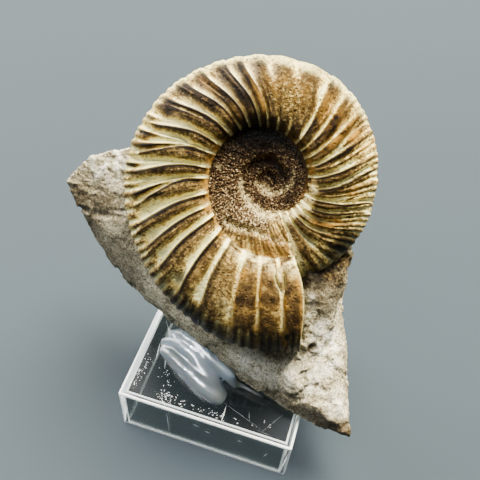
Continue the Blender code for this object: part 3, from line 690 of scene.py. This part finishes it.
def dressShell():
    # calcite shell stained by limonite, weathered out of the stone: cream crests with a painted sheen, brown
    # patina in the hollows with painted black shadow beside the ribs, and a dull granular skin where the top layer
    # has gone
    material, tree, shader = newMaterial("limoniteStainedShell", {
        "IOR": 1.55, "Specular IOR Level": 0.07})   # the pores swallow most of the gloss
    known = {name: addNode(tree, "ShaderNodeAttribute", attribute_name=name).outputs["Fac"] for name in (
        "ridge", "lee", "share", "ribs", "side", "worn", "rough", "panel", "chalk", "rust", "browner", "silk", "glow",
        "dark", "crust", "pale", "ledge", "lump", "gold", "grainy", "shade")}
    here = addNode(tree, "ShaderNodeTexCoord").outputs["Object"]
    grains = {
        # name: size in mm, detail, roughness
        "cloud": (9.0, 2.0, 0.5), "blotch": (3.2, 4.0, 0.6), "grain": (0.9, 4.0, 0.7), "grit": (0.6, 2.0, 0.6),
        "crumbs": (0.42, 3.0, 0.6),
    }
    for name, (size, detail, roughness) in grains.items():
        known[name] = addNode(tree, "ShaderNodeTexNoise", {
            "Vector": here, "Scale": 1.0 / (size * mm), "Detail": detail, "Roughness": roughness})
    # growth lines run with the ribs, about half a millimetre apart
    addRows(tree, known, (("alongRibs", "MULTIPLY", "ribs", 15.0), ("outShare", "MULTIPLY", "share", 5.0)))
    lineUp = addNode(tree, "ShaderNodeCombineXYZ", {
        "X": known["alongRibs"], "Y": known["outShare"], "Z": known["side"]})
    known["growth"] = addNode(tree, "ShaderNodeTexNoise", {"Vector": lineUp, "Scale": 1.0, "Detail": 2.0})
    # short wrinkles across the smooth panels
    crosswise = addNode(tree, "ShaderNodeVectorMath", {0: lineUp, 1: (0.3, 26.0, 1.0)}, operation="MULTIPLY")
    known["wrinkle"] = addNode(tree, "ShaderNodeTexNoise", {"Vector": crosswise, "Scale": 1.0, "Detail": 3.0})
    pits = addNode(tree, "ShaderNodeTexVoronoi", {"Vector": here, "Scale": 1.0 / (1.3 * mm)})
    known["pits"] = pits.outputs["Distance"]

    addRows(tree, known, (
        ("rimward", "SMOOTHSTEP", "share", 0.7, 0.98), ("ridgeUp", "MAXIMUM", "ridge", 0.0),
        ("brightRidge", "POWER", "ridgeUp", 1.15), ("ridgeTone", "MULTIPLY_ADD", "brightRidge", 0.7, -0.73),
        ("rimTone", "MULTIPLY_ADD", "rimward", 0.1, "ridgeTone"),
        ("toneA", "MULTIPLY_ADD", "grain", 0.6, "rimTone"), ("toneB", "MULTIPLY_ADD", "growth", 0.45, "toneA"),
        ("toneC", "MULTIPLY_ADD", "blotch", 0.55, "toneB"), ("toneD", "MULTIPLY_ADD", "grit", 0.52, "toneC"),
        # painted shading darkens the tone where the lamp is strongest and lightens it on the shaded side
        ("tone", "MULTIPLY_ADD", "browner", -0.33, "toneD"), ("cloudy", "SMOOTHSTEP", "cloud", 0.5, 0.7),
        ("crest", "MULTIPLY", "ridge", "ridge"), ("crestEdge", "SMOOTHSTEP", "ridge", 0.2, 0.55),
        ("offCrest", "SUBTRACT", 1.0, "crestEdge"),
        ("panelHere", "MULTIPLY", "panel", "offCrest"), ("wrinkled", "SMOOTHSTEP", "wrinkle", 0.57, 0.64),
        ("wrinkleHere", "MULTIPLY", "wrinkled", "panel"),
        ("rustSpeckle", "SMOOTHSTEP", "blotch", 0.35, 0.6), ("rustHere", "MULTIPLY", "rust", "rustSpeckle"),
        ("chalkSpeckle", "SMOOTHSTEP", "blotch", 0.4, 0.58), ("chalkHere", "MULTIPLY", "chalk", "chalkSpeckle"),
        ("silkHere", "MULTIPLY", "silk", "crest"),
        ("glowPatch", "SMOOTHSTEP", "grain", 0.36, 0.52), ("glowHere", "MULTIPLY", "glow", "glowPatch"),
        # the dark field's painted shadow and stain, and the painted lee shadow in the hollows, leave the crests
        ("crestLess", "MULTIPLY", "crest", -0.2), ("darkHere", "MULTIPLY_ADD", "dark", "crestLess", "dark"),
        ("leeMore", "MULTIPLY", "lee", 1.5), ("leeHere", "MINIMUM", "leeMore", 0.97),
        ("paleSpeckle", "SMOOTHSTEP", "grit", 0.4, 0.56), ("paleOrLedge", "MAXIMUM", "pale", "ledge"),
        ("paleHere", "MULTIPLY", "paleOrLedge", "paleSpeckle"), ("goldHere", "MULTIPLY", "gold", "grain"),
        ("pitEdge", "SMOOTHSTEP", "pits", 0.3, 0.12), ("roughSpeckle", "SMOOTHSTEP", "grain", 0.5, 0.4),
        ("roughHere", "MULTIPLY", "rough", "roughSpeckle"), ("crustTone", "MULTIPLY_ADD", "grainy", 0.08, "crumbs"),
    ))
    tone = addNode(tree, "ShaderNodeValToRGB", {"Fac": known["tone"]}, ramp=(
        (0.04, "#0d0703"), (0.2, "#2a1e11"), (0.38, "#5a4728"), (0.54, "#aa8e51"), (0.67, "#f2dc80"),
        (0.79, "#fffbc0")))
    patina = addNode(tree, "ShaderNodeValToRGB", {"Fac": known["blotch"]}, ramp=(
        (0.34, "#20150a"), (0.48, "#453319"), (0.58, "#695026"), (0.68, "#9c8248")))
    granular = addNode(tree, "ShaderNodeValToRGB", {"Fac": known["grain"]}, ramp=(
        (0.34, "#140d06"), (0.44, "#3b2f17"), (0.54, "#66532b"), (0.68, "#b5a066")))
    crust = addNode(tree, "ShaderNodeValToRGB", {"Fac": known["crustTone"]}, ramp=(
        (0.36, "#0b0603"), (0.47, "#2b1a0d"), (0.55, "#54402a"), (0.63, "#8f7a54"), (0.74, "#e9dfbd")))
    colour = layColours(tree, known, tone.outputs["Color"], (
        ("#7b6233", "cloudy", 0.25), (granular.outputs["Color"], "worn", 0.8),
        (patina.outputs["Color"], "panelHere", 0.9),
        ("#1a1006", "wrinkleHere", 0.6), ("#2a1c0c", "pitEdge", 0.3), ("#463216", "roughHere", 0.75),
        # painted shadow: black beside each rib, and on the seam and the downward rim
        ("#060301", "leeHere", 1.0), ("#060302", "darkHere", 1.0), ("#956c27", "rustHere", 1.0),
        # painted sheen on the crests, and painted light on the top rim
        ("#ddd3c4", "silkHere", 1.0), ("#fdf0a6", "glowHere", 0.75), ("#efdfa0", "chalkHere", 0.65),
        # and inside the umbilicus
        (crust.outputs["Color"], "crust", 1.0), ("#7a5726", "goldHere", 1.4), ("#e2cf98", "paleHere", 0.85),
        # painted shadow where the umbilical wall and the ledge shade the crust
        ("#0a0503", "shade", 0.95), ("#5f422a", "lump", 0.8),
    ))
    tree.links.new(colour, shader.inputs["Base Color"])
    addRows(tree, known, (
        # the panels near the mouth are the glossiest, the worn and the chalky places the dullest
        ("rough1", "MULTIPLY_ADD", "worn", 0.3, 0.42), ("rough2", "MULTIPLY_ADD", "chalk", 0.35, "rough1"),
        ("rough3", "MULTIPLY_ADD", "panel", -0.12, "rough2"), ("rough4", "MULTIPLY_ADD", "grain", 0.2, "rough3"),
        ("roughness", "SUBTRACT", "rough4", 0.08),
        ("bumpA", "MULTIPLY_ADD", "growth", 0.35, "grain"), ("bumpB", "MULTIPLY_ADD", "pitEdge", -0.6, "bumpA"),
        ("roughSpots", "MAXIMUM", "worn", "crust"), ("gritShare", "MAXIMUM", "roughSpots", 0.35),
        ("gritHere", "MULTIPLY", "grit", "gritShare"),
        ("bump", "MULTIPLY_ADD", "gritHere", 1.2, "bumpB"),
    ))
    tree.links.new(known["roughness"].outputs[0], shader.inputs["Roughness"])
    relief = addNode(tree, "ShaderNodeBump", {"Strength": 0.9, "Distance": 0.42 * mm, "Height": known["bump"]})
    tree.links.new(relief.outputs["Normal"], shader.inputs["Normal"])
    return material


planMesh, plan = shellPlan()
for name, values in {**plan, **shellFields(plan)}.items():
    setField(planMesh, name, values)
ammonite = newPiece("ammonite_shell", planMesh)
runTree(ammonite, shellTree(dressShell()), shellSizes)
azimuth, roll = math.radians(shell["facesAzimuth"]), math.radians(shell["roll"])
facing = outwardFrom(shell["facesAzimuth"], shell["facesElevation"])
across = Vector((math.cos(azimuth), math.sin(azimuth), 0.0))
turnShell = Matrix((across, facing.cross(across), facing)).transposed().to_4x4()
turnShell = Matrix.Translation(placed(shell["centre"])) @ turnShell @ Matrix.Rotation(roll, 4, "Z")
shape = bmesh.new()
shape.from_mesh(ammonite.data)
bmesh.ops.recalc_face_normals(shape, faces=shape.faces)
shape.to_mesh(ammonite.data)
shape.free()
ammonite.data.transform(turnShell)
ammonite.data.shade_smooth()
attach(ammonite, "root")
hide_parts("ammonite")
print("shell", len(ammonite.data.polygons))


rock = {
    "floor": 19.8, "voxel": 0.5,
    # corners of the wedge on the box: those of its flat underside, then the rest
    "foot": ((-24.2, 4.1), (-8.6, -3.3), (7.5, -10.5), (21.7, -14.2), (30.8, -16.6), (39.0, -16.1),
             (30.0, 5.0), (14.0, 20.0), (-18.0, 18.0)),
    "wedge": ((-35.3, 2.8, 34.4), (-43.5, 5.9, 43.3), (-48.6, 9.2, 51.4), (-33.2, 7.8, 56.2), (-27.4, 0.7, 46.8),
              (-15.0, -6.2, 35.7), (0.8, -9.4, 29.4), (6.8, -9.8, 29.5), (14.7, -10.8, 30.0), (21.0, -12.4, 29.5),
              (33.8, -16.5, 25.0), (37.9, -14.2, 22.5), (32.6, -3.9, 29.4), (27.8, 0.4, 35.7),
              (-32.9, 13.4, 30.3), (-40.0, 25.0, 54.0), (-12.0, 35.0, 54.0), (22.0, 30.0, 46.0)),
    "lobe": ((-37.6, 20.1, 68.1), (-47.6, 17.3, 64.7), (-53.7, 12.6, 58.1), (-49.5, 8.6, 51.8),
             (-30.0, 14.0, 62.0), (-32.0, 8.0, 54.5), (-24.0, 30.0, 68.0), (-42.0, 25.0, 56.0),
             (-46.0, 20.0, 50.0), (-20.0, 32.0, 52.0)),
    "mouthFill": ((15.7, 8.0, 57.0), (19.2, 2.4, 50.4), (21.4, -4.0, 38.6), (23.4, 5.0, 49.0),
                  (26.0, 9.1, 48.9), (26.4, 13.0, 53.4), (26.0, 18.4, 56.5), (27.8, 0.4, 35.7),
                  (12.0, 2.0, 46.0), (8.0, 22.0, 52.0), (20.0, 30.0, 52.0), (14.0, -8.0, 30.0),
                  (20.0, 20.0, 36.0), (21.0, -11.0, 28.0)),
}
rockSizes = {
    "Swell size": 9.0 * mm, "Swell height": 1.3 * mm, "Facet size": 6.5 * mm, "Facet tilt": 0.28,
    "Chip size": 2.2 * mm, "Chip tilt": 0.22,
    "Grit size": 0.9 * mm, "Grit height": 0.35 * mm, "Crease size": 6.0 * mm, "Crease depth": 0.3 * mm,
    "Dent depth": 1.6 * mm,
}
stoneSpots = {
    # middle in mm from the stand's middle, radius, strength
    # the flat joint face along the fossil's edge, smoothed, and painted lighter where the shell's shadow falls on it
    "even": ((-40, 7, 48, 8, 1.0), (-31, 2, 44, 9, 1.0), (-20, -4, 40, 9, 1.0), (-8, -8, 35, 9, 1.0),
             (4, -10, 33, 9, 1.0),
             (14, -10.5, 31, 6, 0.8), (23, 3, 48, 6, 0.6), (24.5, -3, 37, 5, 0.6), (-42, 12, 58, 7, 0.4)),
    # brown granular crust beside the mouth, and painted shadow in the hollow behind it
    "crust": ((26, 13.5, 55, 3.6, 1.0), (25, 10, 52.5, 2.5, 0.9), (27, 17, 56.5, 3.5, 0.8), (23, 9, 53.6, 2.2, 0.9)),
    "hollow": ((20, 6.5, 54.6, 4.0, 1.0), (20, 8, 55.5, 5.0, 1.0), (17, 5, 54, 3.0, 1.0),
               (22.5, 11.5, 55.5, 3.5, 0.9)),
    # brown stain on the broken underside, below the mouth and on the left lobe; the spot in the notch below the mouth
    # is painted shadow
    "stain": ((13, -12.3, 23.2, 2.4, 0.5), (17, -13.5, 24, 2.8, 0.5), (21, -14.6, 24.2, 3.6, 0.55),
              (25, -15.4, 24.0, 3.9, 0.65),
              (29, -16, 23.4, 4.1, 0.8), (33, -16.6, 22.6, 4.1, 0.9), (37, -16.4, 21.8, 3.8, 0.95),
              (22.5, 4.5, 50, 5.5, 0.8), (25, 6, 48, 4, 0.65),
              (23, -3.8, 37.3, 1.7, 1.0), (-44, 8, 49, 5, 0.8), (-34, 4, 40, 9, 0.6), (-34, 3.5, 47, 6, 0.6),
              (-49, 10, 54, 5, 0.9), (-42, 10, 56, 4.5, 0.9), (-47, 12, 57, 3, 0.5), (-37, 9.5, 59, 4, 0.3)),
    # lime skin, nearly white
    "lime": ((19.6, 2.2, 51, 1.2, 1.0), (20.3, 1.6, 49, 1.2, 1.0), (21.2, 0.4, 46.4, 1.2, 0.8),
             (24, 0, 42, 3, 0.6), (26, -1, 38, 4, 0.9), (28, 2, 38, 4, 0.8), (27.5, -2.5, 34.5, 4.5, 1.0),
             (-44, 18, 65, 6, 0.9), (-38, 16, 63, 5, 0.8), (-34, 9, 58, 3, 0.6), (34, -11, 26, 5, 0.4),
             (26, -9, 30, 5, 0.4), (8, -9.8, 31, 6, 0.6), (16, -11, 31, 5, 0.6)),
    # a crack across the lobe and a notch below the mouth, dented and darker, the notch's darkness a painted shadow
    "dent": ((23, -3.8, 37.3, 1.4, 0.8), (-48, 8.6, 52, 1.0, 0.35), (-46, 8.5, 52.1, 1.0, 0.35),
             (-44, 8.4, 52.3, 1.0, 0.35),
             (-42, 8.2, 52.5, 1.0, 0.35), (-40, 8.1, 53.1, 1.0, 0.35), (-38, 8, 53.8, 1.0, 0.35),
             (-36, 7.8, 54.6, 1.0, 0.35), (-34.3, 7.7, 55.4, 1.0, 0.35)),
}


def addHull(shape, corners):
    points = [shape.verts.new(placed(corner)) for corner in corners]
    hull = bmesh.ops.convex_hull(shape, input=points)
    bmesh.ops.delete(shape, geom=[item for item in hull["geom_interior"] if isinstance(item, bmesh.types.BMVert)],
                     context="VERTS")


def stoneTree(material):
    tree, known = startTree("brokenStone", rockSizes, ("even", "dent"))
    here = addNode(tree, "GeometryNodeInputPosition")
    for name, detail in (("Swell", 2.0), ("Grit", 3.0), ("Crease", 2.0)):
        addRows(tree, known, ((name + "Scale", "DIVIDE", 1.0, name + " size"),))
        known[name] = addNode(tree, "ShaderNodeTexNoise", {
            "Vector": here, "Scale": known[name + "Scale"], "Detail": detail, "Roughness": 0.6})
    # stone breaks in flat facets: each cell of the pattern tilts its own way
    for name in ("Facet", "Chip"):
        addRows(tree, known, ((name + "Scale", "DIVIDE", 1.0, name + " size"),))
        cells = addNode(tree, "ShaderNodeTexVoronoi", {"Vector": here, "Scale": known[name + "Scale"]})
        middle, own = cells.outputs["Position"], cells.outputs["Color"]
        fromMiddle = addNode(tree, "ShaderNodeVectorMath", {0: here, 1: middle}, operation="SUBTRACT")
        tilt = addNode(tree, "ShaderNodeVectorMath", {0: own, 1: (0.5, 0.5, 0.5)}, operation="SUBTRACT")
        lean = addNode(tree, "ShaderNodeVectorMath", {0: fromMiddle, 1: tilt}, operation="DOT_PRODUCT")
        known[name] = lean.outputs["Value"]
    addRows(tree, known, (
        ("swellMid", "SUBTRACT", "Swell", 0.5), ("swellLift", "MULTIPLY", "swellMid", "Swell height"),
        ("facetLift", "MULTIPLY", "Facet", "Facet tilt"),
        ("lumpLift", "MULTIPLY_ADD", "Chip", "Chip tilt", "facetLift"),
        ("gritMid", "SUBTRACT", "Grit", 0.5), ("gritLift", "MULTIPLY", "gritMid", "Grit height"),
        # cracks run where a noise crosses its middle value
        ("creaseMid", "SUBTRACT", "Crease", 0.5), ("creaseAway", "ABSOLUTE", "creaseMid"),
        ("crease", "SMOOTHSTEP", "creaseAway", 0.05, 0.0), ("creaseLift", "MULTIPLY", "crease", "Crease depth"),
        ("broken", "MULTIPLY_ADD", "even", -0.85, 1.0), ("rough1", "ADD", "swellLift", "lumpLift"),
        ("rough2", "SUBTRACT", "rough1", "creaseLift"), ("rough3", "MULTIPLY", "rough2", "broken"),
        ("dentDown", "MULTIPLY", "dent", -1.0), ("dented", "MULTIPLY_ADD", "dentDown", "Dent depth", "rough3"),
        ("gritSome", "MULTIPLY_ADD", "even", -0.6, 1.0), ("lift", "MULTIPLY_ADD", "gritLift", "gritSome", "dented"),
    ))
    normal = addNode(tree, "GeometryNodeInputNormal")
    push = addNode(tree, "ShaderNodeVectorMath", {0: normal, "Scale": known["lift"]}, operation="SCALE")
    raised = addNode(tree, "GeometryNodeSetPosition", {"Geometry": known["Geometry"], "Offset": push})
    endTree(tree, raised, material)
    return tree


def dressStone():
    # fine-grained marly limestone, split open: dull sandy grain, lime skin on its outside, brown iron stain
    material, tree, shader = newMaterial("splitLimestone", {"Roughness": 0.92, "Specular IOR Level": 0.2})
    known = {name: addNode(tree, "ShaderNodeAttribute", attribute_name=name).outputs["Fac"]
             for name in ("even", "stain", "lime", "dent", "crust", "hollow")}
    here = addNode(tree, "ShaderNodeTexCoord").outputs["Object"]
    grains = {
        # name: size in mm, detail, roughness
        "cloud": (11.0, 2.0, 0.5), "blotch": (3.0, 4.0, 0.65), "sand": (0.7, 3.0, 0.7), "speck": (0.5, 1.0, 0.5),
    }
    for name, (size, detail, roughness) in grains.items():
        known[name] = addNode(tree, "ShaderNodeTexNoise", {
            "Vector": here, "Scale": 1.0 / (size * mm), "Detail": detail, "Roughness": roughness})
    pits = addNode(tree, "ShaderNodeTexVoronoi", {"Vector": here, "Scale": 1.0 / (1.7 * mm)})
    known["pits"] = pits.outputs["Distance"]
    addRows(tree, known, (
        ("toneA", "MULTIPLY_ADD", "blotch", 0.8, -0.78), ("toneB", "MULTIPLY_ADD", "sand", 1.35, "toneA"),
        # painted light: the joint face is lifted where the shell shades it
        ("toneC", "MULTIPLY_ADD", "cloud", 0.35, "toneB"), ("toneD", "MULTIPLY_ADD", "even", 0.12, "toneC"),
        ("tone", "MULTIPLY_ADD", "lime", 0.16, "toneD"),
        ("stainPatch", "SMOOTHSTEP", "blotch", 0.28, 0.42), ("stainHere", "MULTIPLY", "stain", "stainPatch"),
        ("limePatch", "SMOOTHSTEP", "blotch", 0.4, 0.6), ("limeHere", "MULTIPLY", "lime", "limePatch"),
        ("speckHere", "SMOOTHSTEP", "speck", 0.57, 0.65), ("pitHere", "SMOOTHSTEP", "pits", 0.2, 0.05),
        ("bumpA", "MULTIPLY_ADD", "blotch", 0.8, "sand"), ("bump", "MULTIPLY_ADD", "pitHere", -0.5, "bumpA"),
    ))
    grain = addNode(tree, "ShaderNodeValToRGB", {"Fac": known["tone"]}, ramp=(
        (0.18, "#3c372a"), (0.38, "#797059"), (0.55, "#a9a084"), (0.75, "#d0c9ac"), (0.95, "#e6e1c6")))
    granules = addNode(tree, "ShaderNodeValToRGB", {"Fac": known["sand"]}, ramp=(
        (0.4, "#100a04"), (0.52, "#3f2e14"), (0.64, "#7a6230"), (0.76, "#b8a064")))
    colour = layColours(tree, known, grain.outputs["Color"], (
        ("#f2eeea", "limeHere", 0.7), ("#3d2d18", "stainHere", 0.85), ("#3b342a", "speckHere", 0.6),
        # painted shadow in the hollow behind the mouth, and a darker dent
        ("#4a4030", "pitHere", 0.5), ("#2f261a", "dent", 0.45), ("#150d06", "hollow", 0.94),
        (granules.outputs["Color"], "crust", 0.85),
    ))
    tree.links.new(colour, shader.inputs["Base Color"])
    relief = addNode(tree, "ShaderNodeBump", {"Strength": 1.0, "Distance": 0.42 * mm, "Height": known["bump"]})
    tree.links.new(relief.outputs["Normal"], shader.inputs["Normal"])
    return material


shape = bmesh.new()
addHull(shape, [(x, y, rock["floor"]) for x, y in rock["foot"]] + list(rock["wedge"]))
addHull(shape, rock["lobe"])
addHull(shape, rock["mouthFill"])
bmesh.ops.recalc_face_normals(shape, faces=shape.faces)
stoneMesh = bpy.data.meshes.new("stone")
shape.to_mesh(stoneMesh)
shape.free()
stone = newPiece("limestone_matrix", stoneMesh)
remesh = stone.modifiers.new("even", "REMESH")
remesh.mode = "VOXEL"
remesh.voxel_size = rock["voxel"] * mm
bakeModifiers(stone)
places = np.empty(len(stone.data.vertices) * 3, dtype=np.float32)
stone.data.vertices.foreach_get("co", places)
places = (places.reshape(-1, 3) - np.array(standMiddle)) / mm
for name, spots in stoneSpots.items():
    total = np.zeros(len(places))
    for *middle, radius, strength in spots:
        distance = np.linalg.norm(places - middle, axis=1) / radius
        total = np.maximum(total, strength * np.exp(-distance ** 4))
    setField(stone.data, name, total)
runTree(stone, stoneTree(dressStone()), rockSizes)
stone.data.shade_smooth()
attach(stone, "root")
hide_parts("matrix")
print("limestone", len(stone.data.polygons))


clearBox = {
    # scratches on the top and the front: where from, where to, how wide, mm from the stand's middle
    "topScratches": (((4.6, -18.5), (4.8, -24.0), 0.2), ((2.0, -17.5), (17.0, -22.5), 0.03),
                     ((20.5, -15.5), (15.5, -23.5), 0.035),
                     ((-13.5, -22.0), (-11.0, -24.6), 0.16), ((-20.0, -6.0), (-19.0, -12.0), 0.16),
                     ((-21.5, 2.0), (-17.0, -4.5), 0.14), ((14.5, -22.5), (19.5, -23.0), 0.04),
                     ((-17.0, -9.0), (-15.5, -14.0), 0.12), ((11.0, -18.0), (12.0, -21.0), 0.04)),
    "frontScratches": (((-10.6, 18.5), (-10.2, 4.0), 0.16), ((-3.0, 15.5), (-1.0, 14.8), 0.3),
                       ((0.5, 13.4), (2.2, 13.0), 0.3),
                       ((10.0, 14.2), (11.5, 14.4), 0.3), ((18.0, 9.0), (19.0, 12.5), 0.14)),
    # scuffed places on the top: middle, half sizes, how many flecks
    "scuffs": (((-12.0, -21.5), (3.0, 1.6), 60), ((-21.5, -16.0), (1.6, 6.0), 50), ((-14.0, -15.0), (2.5, 4.0), 25),
               ((0.0, -22.0), (14.0, 1.2), 40), ((16.0, -20.0), (4.0, 2.5), 4)),
    "seed": 5,
    # the flecks of a scuff: how far they scatter in half sizes, how long, how wide at least and how much wider
    "fleckScatter": 0.5, "fleckLength": 0.3, "fleckWidth": 0.1, "fleckWidening": 0.12,
    "burr": 0.04,   # how high a scratch's edge stands
    "wall": 1.6, "edge": 0.65, "innerEdge": 0.55, "segments": 3, "paintedFootLight": 1.5, "sharpAngle": 28,
}


def roundedBox(name, low, high, edge):
    shape = bmesh.new()
    bmesh.ops.create_cube(shape, size=1.0)
    size = high - low
    for vertex in shape.verts:
        vertex.co = Vector((vertex.co.x * size.x, vertex.co.y * size.y, vertex.co.z * size.z)) + (low + high) / 2
    bmesh.ops.bevel(shape, geom=list(shape.edges), offset=edge, segments=clearBox["segments"],
                    affect="EDGES", profile=0.5)
    bmesh.ops.recalc_face_normals(shape, faces=shape.faces)
    mesh = bpy.data.meshes.new(name)
    shape.to_mesh(mesh)
    shape.free()
    return newPiece(name, mesh)


# clear moulded polystyrene: faces so flat and thin that the table shows through, tinted smoky as painted shade for
# the dark under the box
polystyrene = newMaterial("clearPolystyrene", {
    "Base Color": "#9ba29f", "Roughness": 0.04, "Transmission Weight": 1.0, "IOR": 1.59,
    "Specular IOR Level": 0.1})[0]
# the moulded edges and a band round the foot are rubbed matt and painted white, a painted light for the glow the
# clear plastic pipes to its edges; the white scratches use it too
scuffAndPaintedEdgeLight = newMaterial("polystyreneScuffAndPaintedEdgeLight", {
    "Base Color": "#f6fafc", "Roughness": 0.35, "Transmission Weight": 0.15, "IOR": 1.59})[0]

stand = roundedBox("box_stand", standLow, standHigh, clearBox["edge"] * mm)
wall = Vector((1.0, 1.0, 1.0)) * clearBox["wall"] * mm
hollow = roundedBox("hollow", standLow + wall - Vector((0, 0, 10 * mm)), standHigh - wall, clearBox["innerEdge"] * mm)
cut = stand.modifiers.new("cut", "BOOLEAN")
cut.operation = "DIFFERENCE"
cut.solver = "EXACT"
cut.object = hollow
bakeModifiers(stand)
bpy.data.objects.remove(hollow)
stand.data.materials.clear()
stand.data.materials.append(polystyrene)
stand.data.materials.append(scuffAndPaintedEdgeLight)
shape = bmesh.new()
shape.from_mesh(stand.data)
bmesh.ops.bisect_plane(shape, geom=[*shape.verts, *shape.edges, *shape.faces],
                       plane_co=(0, 0, clearBox["paintedFootLight"] * mm), plane_no=(0, 0, 1))
# painted light: the band round the foot and the bevelled edges take the white edge finish
for face in shape.faces:
    foot = face.calc_center_median().z < clearBox["paintedFootLight"] * mm
    face.material_index = int(foot or max(abs(axis) for axis in face.normal) < 0.99)
shape.to_mesh(stand.data)
shape.free()
# scratches are thin white burrs, and a scuff is many of them
draw = np.random.default_rng(clearBox["seed"])
topScratches = list(clearBox["topScratches"])
for (x, y), (halfX, halfY), count in clearBox["scuffs"]:
    for _ in range(count):
        start = np.array((x, y)) + draw.normal(0.0, clearBox["fleckScatter"], 2) * (halfX, halfY)
        end = start + draw.normal(0.0, clearBox["fleckLength"], 2)
        topScratches.append((start, end, clearBox["fleckWidth"] + clearBox["fleckWidening"] * draw.random()))
shape = bmesh.new()
shape.from_mesh(stand.data)
for scratches, onTop in ((topScratches, True), (clearBox["frontScratches"], False)):
    for start, end, width in scratches:
        if onTop:
            ends = [placed((x, y, 0)) + Vector((0, 0, standHigh.z)) for x, y in (start, end)]
            out = Vector((0, 0, 1))
        else:
            ends = [Vector((placed((x, 0, 0)).x, standLow.y, z * mm)) for x, z in (start, end)]
            out = Vector((0, -1, 0))
        middle, aside = (ends[0] + ends[1]) / 2, (ends[1] - ends[0]).cross(out).normalized() * width * mm / 2
        base = [shape.verts.new(corner) for corner in (ends[0], middle - aside, ends[1], middle + aside)]
        tip = shape.verts.new(middle + out * clearBox["burr"] * mm)
        for corner, following in zip(base, base[1:] + base[:1]):
            shape.faces.new((corner, following, tip)).material_index = 1
        shape.faces.new(base[::-1]).material_index = 1
shape.to_mesh(stand.data)
shape.free()
stand.data.shade_smooth()
stand.data.set_sharp_from_angle(angle=math.radians(clearBox["sharpAngle"]))
stand.visible_shadow = False   # clear plastic lets the light through to the table
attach(stand, "root")
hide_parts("stand")
print("stand")


glueSizes = {
    # courses in mm from the stand's middle: place, radius
    "roll": (((-17.5, -8.6, 20.4), 1.7), ((-15.5, -9.6, 20.6), 2.3), ((-12.0, -11.2, 20.6), 2.6),
             ((-7.5, -13.3, 20.7), 2.8),
             ((-3.0, -15.6, 20.7), 3.0), ((0.5, -17.0, 20.4), 2.7), ((1.8, -17.4, 20.0), 2.2)),
    "crest": (((-18.8, -6.2, 21.0), 1.2), ((-16.5, -6.0, 22.0), 1.7), ((-12.5, -6.9, 22.8), 2.1),
              ((-8.0, -9.0, 22.8), 2.3),
              ((-3.8, -12.4, 21.8), 2.3), ((0.0, -14.8, 20.9), 2.4), ((2.4, -16.0, 20.2), 1.8)),
    "skirt": (((-17.5, -3.2, 21.0), 1.4), ((-14.0, -3.8, 23.6), 2.0), ((-9.0, -5.6, 24.0), 2.2),
              ((-3.5, -8.2, 23.4), 2.2), ((2.5, -10.8, 22.2), 1.9), ((5.0, -12.2, 20.2), 1.2)),
    "film": (((4.0, -11.0, 19.3), 1.2), ((7.0, -11.5, 19.3), 0.85), ((12.0, -12.5, 19.3), 0.7),
             ((16.0, -13.4, 19.3), 0.45)),
    "spacing": 0.5, "voxel": 0.35, "softening": 34,
    # the wavy skin: size and depth in mm, then the share of that size and depth for the finer waves on it
    "creaseSize": 3.6, "creaseDepth": 0.14, "fineCrease": 0.4,
}
# hot-melt glue, squeezed on and set: milky and part see-through, with a smooth skin that shines
hotMelt = newMaterial("hotMeltGlue", {
    "Base Color": "#d2dfe8", "Roughness": 0.28, "Transmission Weight": 0.78, "IOR": 1.48,
    "Subsurface Weight": 0.8, "Subsurface Radius": (1.6, 2.0, 2.4), "Subsurface Scale": 1.0 * mm,
    "Coat Weight": 1.0, "Coat Roughness": 0.04})[0]

shape = bmesh.new()
for course in ("roll", "crest", "skirt", "film"):
    for (start, startRadius), (end, endRadius) in zip(glueSizes[course], glueSizes[course][1:]):
        start, end = placed(start), placed(end)
        steps = max(2, round((end - start).length / (glueSizes["spacing"] * mm)))
        for step in range(steps + 1):
            radius = (startRadius + (endRadius - startRadius) * step / steps) * mm
            move = Matrix.Translation(start.lerp(end, step / steps)) @ Matrix.Diagonal((radius,) * 3).to_4x4()
            bmesh.ops.create_icosphere(shape, subdivisions=2, radius=1.0, matrix=move)
glueMesh = bpy.data.meshes.new("glue")
shape.to_mesh(glueMesh)
shape.free()
glue = newPiece("glue_bead", glueMesh)
remesh = glue.modifiers.new("even", "REMESH")
remesh.mode = "VOXEL"
remesh.voxel_size = glueSizes["voxel"] * mm
soften = glue.modifiers.new("soften", "SMOOTH")
soften.factor, soften.iterations = 0.5, glueSizes["softening"]
bakeModifiers(glue)
creaseSize, fine = glueSizes["creaseSize"], glueSizes["fineCrease"]
for vertex in glue.data.vertices:
    crease = noise.noise(vertex.co / (creaseSize * mm)) + fine * noise.noise(vertex.co / (creaseSize * fine * mm))
    vertex.co += vertex.normal * crease * glueSizes["creaseDepth"] * mm
    vertex.co.z = max(vertex.co.z, standHigh.z)
glue.data.materials.append(hotMelt)
glue.data.shade_smooth()
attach(glue, "root")
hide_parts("glue")
print("glue")
